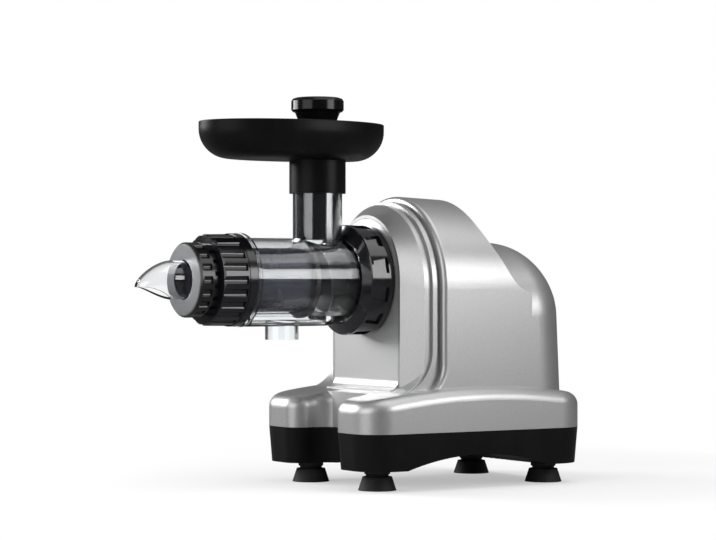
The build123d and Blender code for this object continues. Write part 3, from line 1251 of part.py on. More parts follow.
# ---------------------------------------------------------------- write the parts
def main():
    os.makedirs("parts", exist_ok=True)
    save("upper_housing", upper_housing())
    save("front_panel", front_panel())
    save("bottom_tray", bottom_tray())
    for name, (x, y) in zip(FOOT_NAMES, FOOT_POINTS):
        save(name, foot(x, y))
    save("foot_screws", foot_screws())
    save("housing_screws", housing_screws())
    save("cord_inlet", cord_inlet())

    save("drum", drum())
    save("juicing_screen", juicing_screen())
    save("screen_ring", screen_ring())
    save("screen_front_ring", screen_front_ring())
    save("drum_seal", drum_seal())
    save("auger", auger())
    save("drum_cap", drum_cap())
    save("nozzle_dial", nozzle_dial())
    save("pressure_sleeve", pressure_sleeve())
    save("pulp_spout", pulp_spout())
    save("lock_ring", lock_ring())
    save("drum_seat", drum_seat())
    save("seat_screws", seat_screws())
    save("feed_tray", feed_tray())
    save("pusher_shaft", pusher_shaft())
    save("pusher_cap", pusher_cap())

    save("output_shaft", output_shaft())
    save("output_gear", output_gear())
    save("idler_shaft", idler_shaft())
    save("idler_wheel", idler_wheel())
    save("gearbox_plate", gearbox_plate())
    save("gearbox_case", gearbox_case())
    save("gearbox_screws", gearbox_screws())
    save("output_seal", bearing(PLATE_X - 5, PLATE_X - 0.5, BEARING_R, OUTPUT_SHAFT_R))
    save("output_bearing_front", bearing(PLATE_X, PLATE_X + PLATE_THICK, BEARING_R, OUTPUT_SHAFT_R))
    save("output_bearing_rear", bearing(CASE_REAR_X - CASE_WALL - 3, CASE_REAR_X, BEARING_R,
                                        OUTPUT_SHAFT_R))
    save("idler_bush_front", bearing(PLATE_X + 1, PLATE_X + PLATE_THICK, BUSH_R, IDLER_SHAFT_R,
                                     IDLER_Y, IDLER_Z))
    save("idler_bush_rear", bearing(CASE_REAR_X - CASE_WALL, CASE_REAR_X, BUSH_R, IDLER_SHAFT_R,
                                    IDLER_Y, IDLER_Z))

    save("motor_bracket_front", motor_bracket(MOTOR_FRONT_X))
    save("motor_bracket_rear", motor_bracket(MOTOR_REAR_X - BRACKET_THICK))
    save("motor_bearing_front", bearing(MOTOR_FRONT_X, MOTOR_FRONT_X + BRACKET_THICK,
                                        MOTOR_BEARING_R, MOTOR_SHAFT_R, 0, MOTOR_Z))
    save("motor_bearing_rear", bearing(MOTOR_REAR_X - BRACKET_THICK, MOTOR_REAR_X,
                                       MOTOR_BEARING_R, MOTOR_SHAFT_R, 0, MOTOR_Z))
    save("motor_stator", motor_stator())
    save("motor_windings", motor_windings())
    save("motor_bolts", motor_bolts())
    save("motor_shaft", motor_shaft())
    save("rotor_core", rotor_core())
    save("cooling_fan", cooling_fan())
    save("chassis_plate", chassis_plate())
    save("motor_mounts", motor_mounts())
    save("mount_screws", mount_screws())
    save("run_capacitor", run_capacitor())

    save("switch_body", switch_body())
    save("switch_rocker", switch_rocker())


main()
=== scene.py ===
# %% [markdown]
# # A cold press juicer
# The machine squeezes fruit with a slowly turning screw inside a clear drum.  An arched silver housing
# behind the drum hides the motor and its gears.  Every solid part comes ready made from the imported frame,
# at its real size and place, so this lesson is about what the eye reads on top of the shape: lacquer,
# moulded plastic, clear plastic, screws, light and a floor.

# %% Load the frame
import math

import bmesh
import bpy
import numpy as np
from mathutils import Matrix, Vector


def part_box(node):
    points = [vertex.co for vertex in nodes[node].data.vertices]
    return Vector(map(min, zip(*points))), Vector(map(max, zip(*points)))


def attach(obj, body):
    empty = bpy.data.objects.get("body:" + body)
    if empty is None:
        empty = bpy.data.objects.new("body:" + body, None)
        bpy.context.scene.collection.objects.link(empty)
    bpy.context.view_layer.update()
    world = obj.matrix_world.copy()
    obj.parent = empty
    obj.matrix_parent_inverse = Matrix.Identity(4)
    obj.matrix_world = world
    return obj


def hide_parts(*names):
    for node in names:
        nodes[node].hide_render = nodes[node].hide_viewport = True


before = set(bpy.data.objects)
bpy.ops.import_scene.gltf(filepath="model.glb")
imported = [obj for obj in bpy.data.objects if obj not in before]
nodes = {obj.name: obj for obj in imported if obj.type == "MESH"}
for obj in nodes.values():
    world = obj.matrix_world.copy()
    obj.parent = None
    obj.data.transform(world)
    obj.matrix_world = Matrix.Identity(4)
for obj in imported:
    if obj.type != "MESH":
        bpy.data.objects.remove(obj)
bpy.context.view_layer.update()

MM = 0.001

# %% [markdown]
# ## Shader maths in plain Python
# A finish is mostly arithmetic on patterns: a little noise added to a roughness, a mask multiplied into a
# colour.  Wiring dozens of Math nodes by hand hides that arithmetic.  One small class wraps a socket, so
# that `0.3 + 0.1 * noise` adds the Math nodes itself, and one method, `add`, makes any other node.  The
# same class serves for Geometry Nodes further down, because their trees take Math nodes too.

# %% A socket that understands operators
FULL_TYPES = ("Geometry", "Node")      # how the node types that aren't shader nodes begin
MIX_FACTOR = 0                         # a Mix node's sockets when it mixes colours
MIX_FIRST = 6
MIX_SECOND = 7
MIX_RESULT = 2


class Wire:
    """An output socket in a node tree; Python operators on it add Math nodes."""

    def __init__(self, tree, socket=None):
        self.tree = tree
        self.socket = socket

    def add(self, kind, settings=None, inputs=None, out=0):
        """Add a node of that kind, settings first, then the values or links of its inputs."""
        full_kind = kind if kind.startswith(FULL_TYPES) else "ShaderNode" + kind
        node = self.tree.nodes.new(full_kind)
        for key, value in (settings or {}).items():
            setattr(node, key, value)
        for key, value in (inputs or {}).items():
            if isinstance(value, (Wire, list)):
                for wire in value if isinstance(value, list) else [value]:
                    self.tree.links.new(wire.socket, node.inputs[key])
            else:
                node.inputs[key].default_value = value
        return Wire(self.tree, node.outputs[out] if node.outputs else None)

    def maths(self, operation, *values):
        return self.add("Math", {"operation": operation}, dict(enumerate(values)))

    def __add__(self, other):
        return self.maths("ADD", self, other)

    def __radd__(self, other):
        return self.maths("ADD", other, self)

    def __sub__(self, other):
        return self.maths("SUBTRACT", self, other)

    def __rsub__(self, other):
        return self.maths("SUBTRACT", other, self)

    def __mul__(self, other):
        return self.maths("MULTIPLY", self, other)

    def __rmul__(self, other):
        return self.maths("MULTIPLY", other, self)

    def __truediv__(self, other):
        return self.maths("DIVIDE", self, other)

    def __pow__(self, other):
        return self.maths("POWER", self, other)

    def clip(self):
        """Keep the value between 0 and 1."""
        return self.add("Math", {"operation": "ADD", "use_clamp": True}, {0: self, 1: 0.0})

    def ramp(self, low, high):
        """0 below low, 1 above high, smooth between."""
        return self.add("MapRange", {"interpolation_type": "SMOOTHSTEP"},
                        {"Value": self, "From Min": low, "From Max": high})

    def blend(self, first, second):
        """Mix two colours by this value."""
        first, second = [colour if isinstance(colour, Wire) else (*colour, 1.0)
                         for colour in (first, second)]
        return self.add("Mix", {"data_type": "RGBA"},
                        {MIX_FACTOR: self, MIX_FIRST: first, MIX_SECOND: second}, out=MIX_RESULT)


print("operators ready")

# %% [markdown]
# ## Patterns
# All patterns read Object coordinates, which are metres here because each part's place is in its mesh.
# A noise with scale 1000 therefore has features of about a millimetre.  Three patterns carry most finishes:
# a slow one for handling and dust, a fine one for the skin of a moulding, and cells for metallic flake.

# %% Places, noise and cells
def start(name):
    """A new material, emptied, and a wire to build on."""
    material = bpy.data.materials.new(name)
    material.use_nodes = True
    material.node_tree.nodes.clear()
    return material, Wire(material.node_tree)


def place(wire):
    """Where the shaded point is, in metres."""
    return wire.add("TexCoord", out="Object")


def split(vector):
    """The three numbers of a vector."""
    parts = vector.add("SeparateXYZ", {}, {"Vector": vector}).socket.node
    return [Wire(vector.tree, parts.outputs[axis]) for axis in "XYZ"]


def noise(wire, per_metre, detail=2.0, rough=0.5, stretch=(1, 1, 1)):
    """Noise between 0 and 1 with that many features to the metre."""
    mapped = wire.add("Mapping", {}, {"Vector": place(wire), "Scale": stretch})
    return wire.add("TexNoise", {}, {"Vector": mapped, "Scale": per_metre, "Detail": detail,
                                     "Roughness": rough})


def cells(wire, per_metre):
    """One random grey for each small cell."""
    colour = wire.add("TexVoronoi", {"feature": "F1"}, {"Vector": place(wire), "Scale": per_metre},
                      out="Color")
    return wire.add("SeparateColor", {}, {"Color": colour})


print("patterns ready")

# %% From patterns to a finish
def bump(wire, height, depth_mm, strength=1.0):
    return wire.add("Bump", {}, {"Height": height, "Distance": depth_mm * MM, "Strength": strength})


def shader(wire, material, links=None, **constants):
    """Principled shader: constants on their own sockets, patterns as links."""
    inputs = {key.replace("_", " "): value for key, value in constants.items()}
    surface = wire.add("BsdfPrincipled", {}, {**inputs, **(links or {})})
    wire.add("OutputMaterial", {}, {"Surface": surface})
    return material


def dress(material, *names):
    """Give one material to CAD nodes."""
    for name in names:
        mesh = nodes[name].data
        mesh.materials.clear()
        mesh.materials.append(material)


print("finishes can be made and put on")

# %% [markdown]
# ## Silver lacquer
# The housing is a moulding sprayed with a metallic lacquer: aluminium flakes in a clear binder.  Metal
# alone would look like bare steel, so the base is metallic but fairly rough, the flakes are tiny cells that
# shift the tone and tilt the normal, and a thin clear coat gives the sharper second reflection.

# %% The housing's lacquer
FLAKES_PER_METRE = 2000.0
LACQUER_SKIN_PER_METRE = 420.0
HANDLING_PER_METRE = 9.0
LACQUER_ROUGH = 0.42
LACQUER_RELIEF_MM = 0.03
SILVER = (0.48, 0.48, 0.482)
PALE_SILVER = (0.62, 0.62, 0.622)


def lacquer(name, tone, flake):
    """Metallic lacquer whose flakes shift the tone by that share."""
    material, wire = start(name)
    flakes = cells(wire, FLAKES_PER_METRE)
    slow = noise(wire, HANDLING_PER_METRE, 3.0)
    grey = 1.0 + (flakes - 0.5) * flake + (slow - 0.5) * 0.05
    skin = noise(wire, LACQUER_SKIN_PER_METRE, 3.0)
    return shader(wire, material, {
        "Base Color": grey.blend((0, 0, 0), tone),
        "Roughness": LACQUER_ROUGH + (slow - 0.5) * 0.06 + (flakes - 0.5) * 0.05,
        "Normal": bump(wire, flakes * 0.35 + skin, LACQUER_RELIEF_MM, 0.5),
    }, Metallic=0.85, Coat_Weight=0.10, Coat_Roughness=0.30, Specular_IOR_Level=0.5)


dress(lacquer("silver_lacquer", SILVER, flake=0.22), "upper_housing")
dress(lacquer("panel_lacquer", PALE_SILVER, flake=0.12), "front_panel")
print("lacquer on the housing and its panel")

# %% [markdown]
# ## Black mouldings
# The blacks on this machine differ in gloss and grain more than in colour.  The base tray and the bowl are
# satin, the pusher and the drum's caps are glossier, and the locking ring is polished.  Each has a fine
# skin from its mould, a little dust in the roughness and a faint wave that keeps long reflections from
# being ruler straight.

# %% Black plastic in several glosses
MOULD_GRAIN_PER_METRE = 900.0
MOULD_GRAIN_MM = 0.02
MOULD_WAVE_MM = 0.05


def moulded(name, tone, rough, grain_mm=MOULD_GRAIN_MM, coat=0.0, specular=0.5):
    """Moulded plastic: skin from the mould, slow waves and a little dust in smears."""
    material, wire = start(name)
    skin = noise(wire, MOULD_GRAIN_PER_METRE, 4.0, 0.6)
    slow = noise(wire, 14.0, 3.0)
    smear = noise(wire, 60.0, 5.0, 0.65, (1.0, 1.0, 0.35))
    dusty = (smear - 0.45).clip()
    dust_tone = tuple(min(1.0, 1.6 * value + 0.008) for value in tone)
    return shader(wire, material, {
        "Base Color": (dusty * 0.5).blend(tone, dust_tone),
        "Roughness": rough + dusty * 0.25 + (slow - 0.5) * 0.06,
        "Normal": bump(wire, skin * grain_mm + slow * MOULD_WAVE_MM, 1.0, 0.6),
    }, Coat_Weight=coat, Coat_Roughness=0.08, Specular_IOR_Level=specular)


# %% The outer mouldings, from satin to polished
BLACK = (0.004, 0.004, 0.0048)
BOWL_BLACK = (0.004, 0.004, 0.0045)
BLUE_BLACK = (0.004, 0.004, 0.006)

dress(moulded("tray_satin_black", BLACK, 0.42, specular=0.12), "bottom_tray", "cord_inlet")
dress(moulded("bowl_satin_black", BOWL_BLACK, 0.34, specular=0.09), "feed_tray")
dress(moulded("knob_gloss_black", BLACK, 0.16, specular=0.25), "pusher_cap")
dress(moulded("shaft_gloss_black", BLACK, 0.12, coat=0.5), "pusher_shaft")
dress(moulded("ring_polished_black", BLUE_BLACK, 0.10, coat=0.4), "lock_ring")
dress(moulded("cap_black", BLUE_BLACK, 0.17, coat=0.2), "drum_cap")
dress(moulded("switch_black", (0.012, 0.012, 0.012), 0.35), "switch_body", "switch_rocker")
print("outer mouldings dressed")

# %% The mouldings inside the drum and the housing
dress(moulded("screen_grey", (0.022, 0.025, 0.035), 0.24, coat=0.2, grain_mm=0.01), "juicing_screen")
dress(moulded("screen_end_black", BLACK, 0.30), "screen_ring", "screen_front_ring")
dress(moulded("auger_black", (0.018, 0.019, 0.023), 0.30), "auger")
dress(moulded("sleeve_black", (0.014, 0.014, 0.016), 0.32), "pressure_sleeve", "drum_seat")
dress(moulded("fan_black", (0.02, 0.02, 0.02), 0.45), "cooling_fan")
dress(moulded("gear_nylon", (0.68, 0.66, 0.60), 0.4), "output_gear", "idler_wheel")
dress(moulded("capacitor_sleeve", (0.62, 0.62, 0.60), 0.35), "run_capacitor")
print("inner mouldings dressed")

# %% [markdown]
# ## The dial's face, painted grey
# The dial is black like the cap, but its front face is painted a satin grey, half metallic.  The grey is a
# painted reflection that stands in for the bright studio mirrored in the black face.  The face has very fine
# turned rings: noise that reads only the distance from the dial's axis, and a mask made from the depth along
# that axis keeps them on the face.

# %% The dial
DIAL_BLACK = (0.006, 0.006, 0.007)
# the face's grey is a painted reflection, standing in for the bright studio mirrored in the black face
DIAL_FACE_REFLECTION_GREY = (0.20, 0.205, 0.215)
FACE_START = 0.2 * MM        # the face gives way to the moulded side between these two depths
FACE_END = 0.9 * MM
RINGS_PER_METRE = 2600.0


def dial_plastic():
    """Black moulding whose face is painted satin grey as a painted reflection, with fine turned rings."""
    material, wire = start("dial_black")
    low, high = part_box("nozzle_dial")
    x, y, z = split(place(wire))
    height = z - (low.z + high.z) / 2
    radius = (y * y + height * height) ** 0.5
    face = 1.0 - x.ramp(low.x + FACE_START, low.x + FACE_END)
    skin = noise(wire, MOULD_GRAIN_PER_METRE, 4.0)
    along_radius = wire.add("CombineXYZ", {}, {"X": radius})
    rings = wire.add("TexNoise", {}, {"Vector": along_radius, "Scale": RINGS_PER_METRE})
    return shader(wire, material, {
        # the face's colour is a painted reflection: grey, with the rings in it, where the moulding itself is
        # black
        "Base Color": (face * (0.85 + 0.3 * (rings - 0.5))).blend(DIAL_BLACK, DIAL_FACE_REFLECTION_GREY),
        "Metallic": face * 0.6,
        "Roughness": 0.22 + face * 0.16,
        "Normal": bump(wire, skin * (1.0 - face) + rings * face * 2.5, 0.02, 0.8),
    }, Specular_IOR_Level=0.5)


dress(dial_plastic(), "nozzle_dial")
print("dial dressed")

# %% [markdown]
# ## Clear plastic
# The drum and the spout are thick clear mouldings.  A glass shader with the index of the real plastic bends
# the light in their true walls.  Shadow rays pass straight through, as a studio's soft light would, so the
# screen inside isn't left in the dark.

# %% Clear mouldings
PLASTIC_INDEX = 1.49
CLEAR_WAVE_MM = 0.10


def clear(name, tint, rough=0.02):
    """Clear moulded plastic with faint smears."""
    material, wire = start(name)
    slow = noise(wire, 25.0, 2.0)
    smear = (noise(wire, 90.0, 5.0, 0.6) - 0.5).clip()
    glass = wire.add("BsdfPrincipled", {}, {
        "Base Color": (*tint, 1.0), "Transmission Weight": 1.0, "IOR": PLASTIC_INDEX,
        "Roughness": rough + smear * 0.10, "Normal": bump(wire, slow, CLEAR_WAVE_MM, 0.5)})
    through = wire.add("BsdfTransparent", {}, {"Color": (*tint, 1.0)})
    shadow = wire.add("LightPath", out="Is Shadow Ray")
    mixed = wire.add("MixShader", {}, {"Fac": shadow, 1: glass, 2: through})
    wire.add("OutputMaterial", {}, {"Surface": mixed})
    return material


DRUM_CLEAR = clear("drum_clear", (0.93, 0.95, 0.96), rough=0.06)
SPOUT_CLEAR = clear("spout_clear", (0.97, 0.975, 0.98))
dress(DRUM_CLEAR, "drum")
print("drum dressed, spout's plastic ready")

# %% [markdown]
# ## The spout's beak
# The pulp leaves through a clear tube whose end closes into a drooping beak, open below.  A row of rings
# round the tube's axis describes it: each ring has its place, its height, its half width and half height,
# and how far it reaches round from the top.  Where the reach is half a turn the ring is closed; along the
# beak it shrinks, and the two edges part into the mouth.  A solidify modifier gives the skin its wall.

# %% Finish a piece: modifiers applied, smooth faces, sharp edges kept
SHARP_EDGE = math.radians(35)


def finished(piece):
    """Apply the modifiers, tidy the material slots and smooth all but the sharp edges."""
    graph = bpy.context.evaluated_depsgraph_get()
    mesh = bpy.data.meshes.new_from_object(piece.evaluated_get(graph))
    piece.modifiers.clear()
    piece.data = mesh
    made_of = [material for material in mesh.materials if material]
    mesh.materials.clear()
    for material in made_of:
        mesh.materials.append(material)
    mesh.polygons.foreach_set("material_index", [0] * len(mesh.polygons))
    mesh.polygons.foreach_set("use_smooth", [True] * len(mesh.polygons))
    edges = bmesh.new()
    edges.from_mesh(mesh)
    for edge in edges.edges:
        edge.smooth = len(edge.link_faces) == 2 and edge.calc_face_angle() < SHARP_EDGE
    edges.to_mesh(mesh)
    edges.free()
    return piece


def new_piece(name, mesh):
    """An object at the origin that shows a mesh."""
    piece = bpy.data.objects.new(name, mesh)
    bpy.context.scene.collection.objects.link(piece)
    return piece


# %% Skin a row of rings
COLUMNS = 64
SAME_PLACE = 0.001 * MM


def ring_corners(x, height, wide, tall, reach):
    """Corners of one ring, from one edge of its reach over the top to the other."""
    turns = [reach * (2.0 * column / COLUMNS - 1.0) for column in range(COLUMNS + 1)]
    return [(x, wide * math.sin(turn), height + tall * math.cos(turn)) for turn in turns]


def skin_over(name, rings, wall):
    """A walled piece through rings of (x, centre height, half width, half height, reach)."""
    shell = bmesh.new()
    rows = [[shell.verts.new(corner) for corner in ring_corners(*ring)] for ring in rings]
    for first, second in zip(rows, rows[1:]):
        for column in range(COLUMNS):
            shell.faces.new((first[column], first[column + 1], second[column + 1], second[column]))
    bmesh.ops.remove_doubles(shell, verts=shell.verts, dist=SAME_PLACE)
    bmesh.ops.recalc_face_normals(shell, faces=shell.faces)
    top = max(shell.faces, key=lambda face: face.calc_center_median().z)
    if top.normal.z < 0:
        bmesh.ops.reverse_faces(shell, faces=shell.faces)
    mesh = bpy.data.meshes.new(name)
    shell.to_mesh(mesh)
    shell.free()
    piece = new_piece(name, mesh)
    solidify = piece.modifiers.new("wall", "SOLIDIFY")
    solidify.thickness = wall
    solidify.offset = -1.0
    solidify.use_even_offset = True
    return finished(piece)


# %% The spout's rings
SPOUT_RADIUS = 15.5 * MM
SPOUT_WALL = 1.8 * MM
SPOUT_FLANGE = 3.0 * MM      # thickness of the flange that the dial holds
FLANGE_PLAY = 0.05 * MM      # the flange's rear face stays this far inside the solid's
BEAK_LENGTH = 29.0 * MM
BEAK_DROOP = 5.5 * MM
BEAK_TIP = 3.6 * MM
BEAK_MOUTH = 88.0            # degrees by which the reach shrinks on each side, up to the tip
BEAK_STEPS = 16


def closing(along, start_power, end_power):
    """From 1 at the beak's root to 0 at its tip; the powers round the shoulder and the tip."""
    return (1.0 - along ** start_power) ** end_power


def spout_rings():
    low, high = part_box("pulp_spout")
    axis = (low.z + high.z) / 2
    flange = (high.z - low.z) / 2
    rear = high.x - FLANGE_PLAY
    front = rear - SPOUT_FLANGE
    rings = [(x, axis, radius, radius, math.pi)
             for x, radius in ((rear, flange), (front, flange), (front, SPOUT_RADIUS))]
    for step in range(BEAK_STEPS + 1):
        along = step / BEAK_STEPS
        tall = BEAK_TIP + (SPOUT_RADIUS - BEAK_TIP) * closing(along, 1.9, 0.85)
        wide = BEAK_TIP + (SPOUT_RADIUS - BEAK_TIP) * closing(along, 2.2, 0.80)
        reach = math.radians(180.0 - BEAK_MOUTH * along ** 0.55)
        height = axis - BEAK_DROOP * along ** 1.3
        rings.append((low.x + BEAK_LENGTH * (1.0 - along), height, wide, tall, reach))
    return rings


spout = skin_over("spout_shell", spout_rings(), SPOUT_WALL)
spout.data.materials.append(SPOUT_CLEAR)
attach(spout, "pulp_spout")
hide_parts("pulp_spout")
print("spout", len(spout.data.polygons), "faces")

# %% [markdown]
# ## Rubber, and the metal inside
# The feet and seals are rubber, dull and slightly dusty.  The works inside are metal: ground shafts,
# die-cast brackets with a pebbled skin, stacked sheets in the motor, bronze bushes and a copper coil.

# %% Rubber
RUBBER_PER_METRE = 700.0
RUBBER_SKIN_MM = 0.05


def rubber(name, tone):
    """Dull rubber with dust in its skin."""
    material, wire = start(name)
    skin = noise(wire, RUBBER_PER_METRE, 5.0, 0.65)
    dust = (noise(wire, 120.0, 5.0, 0.7) - 0.42).clip()
    dust_tone = tuple(value * 2.2 + 0.01 for value in tone)
    return shader(wire, material, {
        "Base Color": (dust * 1.2).clip().blend(tone, dust_tone),
        "Roughness": 0.62 + dust * 0.3,
        "Normal": bump(wire, skin, RUBBER_SKIN_MM, 0.6),
    }, Specular_IOR_Level=0.3)


dress(rubber("foot_rubber", (0.010, 0.010, 0.011)), "foot_front_left", "foot_front_right",
      "foot_rear_left", "foot_rear_right")
dress(rubber("seal_rubber", (0.03, 0.03, 0.032)), "drum_seal", "output_seal", "motor_mounts")
print("rubber dressed")

# %% Steel, castings, bronze and copper
METAL_GRAIN_PER_METRE = 900.0
METAL_GRAIN_MM = 0.02
ALONG_SHAFTS = (0.1, 1, 1)             # stretches the grain along x
ACROSS_SHAFTS = (1, 0.02, 0.02)        # turns the grain into flat layers, one behind the other


def metal(name, tone, rough, grain_mm=METAL_GRAIN_MM, per_metre=METAL_GRAIN_PER_METRE, stretch=(1, 1, 1)):
    """Bare metal whose grain shifts tone, gloss and surface together."""
    material, wire = start(name)
    grain = noise(wire, per_metre, 4.0, 0.6, stretch)
    slow = noise(wire, 30.0, 3.0)
    mottle = (0.5 + (grain - 0.5) * 0.5 + (slow - 0.5) * 0.5).clip()
    dark_tone = tuple(value * 0.86 for value in tone)
    light_tone = tuple(min(1.0, value * 1.1) for value in tone)
    return shader(wire, material, {
        "Base Color": mottle.blend(dark_tone, light_tone),
        "Roughness": rough + (grain - 0.5) * 0.12,
        "Normal": bump(wire, grain, grain_mm, 0.6),
    }, Metallic=1.0)


dress(metal("ground_steel", (0.55, 0.55, 0.56), 0.25, stretch=ALONG_SHAFTS), "output_shaft",
      "idler_shaft", "motor_shaft")
dress(metal("die_cast", (0.52, 0.53, 0.54), 0.45, 0.08, 500.0), "gearbox_plate", "gearbox_case",
      "motor_bracket_front", "motor_bracket_rear")
dress(metal("stacked_sheets", (0.22, 0.22, 0.23), 0.4, 0.15, 1500.0, ACROSS_SHAFTS), "motor_stator",
      "rotor_core")
dress(metal("copper_wire", (0.62, 0.26, 0.12), 0.3, 0.2), "motor_windings")
dress(metal("plated_sheet", (0.5, 0.5, 0.5), 0.35), "chassis_plate")
dress(metal("bush_bronze", (0.55, 0.36, 0.14), 0.35), "idler_bush_front", "idler_bush_rear")
print("metal dressed")

# %% [markdown]
# ## Screws by Geometry Nodes
# Twenty-seven screws hold the machine together, in six sets that differ in length and direction.  One tree
# makes a screw from six sizes: a head with a cross recess, a plain shank and a rolled thread.  It stands a
# copy on each seat, and the seats are read from the CAD screws: for each loose solid, its long axis and the
# wider end give the head's place and direction.

# %% A tree with named sizes
SOCKET_KINDS = {int: "NodeSocketInt", float: "NodeSocketFloat", tuple: "NodeSocketVector"}


def tree_with(name, sizes):
    """A Geometry Nodes tree with a named input for each size, and a wire for each."""
    tree = bpy.data.node_groups.new(name, "GeometryNodeTree")
    tree.interface.new_socket("Seats", in_out="INPUT", socket_type="NodeSocketGeometry")
    for label, value in sizes.items():
        tree.interface.new_socket(label, in_out="INPUT", socket_type=SOCKET_KINDS[type(value)])
    tree.interface.new_socket("Geometry", in_out="OUTPUT", socket_type="NodeSocketGeometry")
    given = tree.nodes.new("NodeGroupInput")
    return Wire(tree), {socket.name: Wire(tree, socket) for socket in given.outputs if socket.name}


def close_tree(wire, shape, seats, turn, material):
    """Stand the shape on every seat, make it real and give it its material."""
    copies = wire.add("GeometryNodeInstanceOnPoints", {},
                      {"Points": seats, "Instance": shape, "Rotation": turn})
    real = wire.add("GeometryNodeRealizeInstances", {}, {"Geometry": copies})
    dressed = wire.add("GeometryNodeSetMaterial", {}, {"Geometry": real, "Material": material})
    wire.add("NodeGroupOutput", {}, {"Geometry": dressed})
    return wire.tree


def grow(name, tree, seats, sizes, body, stands_for):
    """Run the tree on the seats and keep the result as a plain mesh in place of a CAD node."""
    points = bpy.data.meshes.new(name)
    points.from_pydata([tuple(seat) for seat in seats], [], [])
    piece = new_piece(name, points)
    modifier = piece.modifiers.new("grow", "NODES")
    modifier.node_group = tree
    for item in tree.interface.items_tree:
        if item.item_type == "SOCKET" and item.name in sizes:
            modifier[item.identifier] = sizes[item.name]
    finished(piece)
    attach(piece, body)
    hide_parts(stands_for)
    return piece


print("trees can be grown")

# %% A screw's parts
SCREW_SIZES = {"Length": 20 * MM, "Head Radius": 3 * MM, "Head Height": 2 * MM, "Shank Radius": 2 * MM,
               "Thread Length": 10 * MM, "Pitch": 0.8 * MM, "Turn": (0.0, 0.0, 0.0)}
HEAD_CHAMFER = 0.78          # the head's outer face as a share of its widest radius
CROSS_WIDTH = 0.9 * MM
CROSS_SPAN = 0.62            # the recess as a share of the head's width
CROSS_DEPTH = 1.1            # the bars' height as a share of the head's; half of it is inside the head
THREAD_DEPTH = 0.45          # as a share of the pitch
RIDGE_RADIUS = 0.43
COIL_STEPS = 20              # points in each turn of the thread


def raised(wire, shape, height):
    """The shape moved up by that height."""
    at = wire.add("CombineXYZ", {}, {"Z": height})
    return wire.add("GeometryNodeTransform", {}, {"Geometry": shape, "Translation": at})


def bar(wire, x, y, z):
    size = wire.add("CombineXYZ", {}, {"X": x, "Y": y, "Z": z})
    return wire.add("GeometryNodeMeshCube", {}, {"Size": size})


def screw_head(wire, size):
    """A chamfered head whose outer face is at the seat, with a cross cut into it."""
    height = size["Head Height"]
    head = wire.add("GeometryNodeMeshCone", {}, {
        "Vertices": 32, "Radius Top": size["Head Radius"],
        "Radius Bottom": size["Head Radius"] * HEAD_CHAMFER, "Depth": height})
    span = size["Head Radius"] * (2 * CROSS_SPAN)
    deep = height * CROSS_DEPTH
    for cutter in (bar(wire, span, CROSS_WIDTH, deep), bar(wire, CROSS_WIDTH, span, deep * 1.1)):
        head = wire.add("GeometryNodeMeshBoolean", {"operation": "DIFFERENCE"},
                        {"Mesh 1": head, "Mesh 2": cutter})
    return head


def rod(wire, radius, start_height, length):
    """A round rod that stands on a height."""
    shape = wire.add("GeometryNodeMeshCylinder", {}, {"Vertices": 24, "Radius": radius, "Depth": length})
    return raised(wire, shape, start_height + length * 0.5)


def thread_ridge(wire, size, core, start_height):
    """A five-sided ridge wound round the core."""
    pitch = size["Pitch"]
    coil = wire.add("GeometryNodeCurveSpiral", {}, {
        "Resolution": COIL_STEPS, "Rotations": size["Thread Length"] / pitch - 1.0,
        "Start Radius": core, "End Radius": core, "Height": size["Thread Length"] - pitch})
    ridge = wire.add("GeometryNodeCurvePrimitiveCircle", {}, {"Resolution": 5,
                                                              "Radius": pitch * RIDGE_RADIUS})
    thread = wire.add("GeometryNodeCurveToMesh", {}, {"Curve": coil, "Profile Curve": ridge,
                                                      "Fill Caps": True})
    return raised(wire, thread, start_height + pitch * 0.5)


# %% The screw's tree
def screw_tree(material):
    """The head's outer face is at the seat, and the shank runs up from it."""
    wire, size = tree_with("screw", SCREW_SIZES)
    inside_head = size["Head Height"] * 0.5
    core = size["Shank Radius"] - size["Pitch"] * THREAD_DEPTH
    plain = size["Length"] - size["Thread Length"]
    parts = [screw_head(wire, size),
             rod(wire, size["Shank Radius"], inside_head, plain - inside_head),
             rod(wire, core, plain, size["Thread Length"]),
             thread_ridge(wire, size, core, plain)]
    screw = wire.add("GeometryNodeJoinGeometry", {}, {"Geometry": parts})
    return close_tree(wire, screw, size["Seats"], size["Turn"], material)


SCREW_TREE = screw_tree(metal("zinc_screw", (0.58, 0.58, 0.57), 0.28))
print("screw tree", len(SCREW_TREE.nodes), "nodes")

# %% Seats read from the CAD screws
END_SLICE = 0.3 * MM         # corners this near an end belong to it
WIDEST_SHARE = 0.95          # corners beyond this share of the largest radius are the head's


def loose_solids(node):
    """The corners of each separate solid of a CAD node."""
    shape = bmesh.new()
    shape.from_mesh(nodes[node].data)
    bmesh.ops.remove_doubles(shape, verts=shape.verts, dist=SAME_PLACE)
    left = set(shape.verts)
    solids = []
    while left:
        to_visit = [left.pop()]
        solid = []
        while to_visit:
            corner = to_visit.pop()
            solid.append(tuple(corner.co))
            for edge in corner.link_edges:
                other = edge.other_vert(corner)
                if other in left:
                    left.remove(other)
                    to_visit.append(other)
        solids.append(np.array(solid))
    shape.free()
    return sorted(solids, key=lambda solid: tuple(solid.mean(axis=0).round(4)))


def measure_screw(solid):
    """One screw's seat, the axis it lies along, whether its head is at the low end, and its sizes."""
    low, high = solid.min(axis=0), solid.max(axis=0)
    along = int(np.argmax(high - low))
    middle = (low + high) / 2
    across = [axis for axis in range(3) if axis != along]
    radius = np.hypot(*(solid[:, across] - middle[across]).T)
    at_low, at_high = [radius[abs(solid[:, along] - end) < END_SLICE].max()
                       for end in (low[along], high[along])]
    head_low = bool(at_low > at_high)
    seat = middle.copy()
    seat[along] = low[along] if head_low else high[along]
    head = radius > WIDEST_SHARE * radius.max()
    length = float(high[along] - low[along])
    return seat, (along, head_low), {
        "Length": length,
        "Head Radius": float(radius.max()),
        "Head Height": float(abs(solid[head, along] - seat[along]).max()),
        "Shank Radius": float(min(at_low, at_high)),
    }


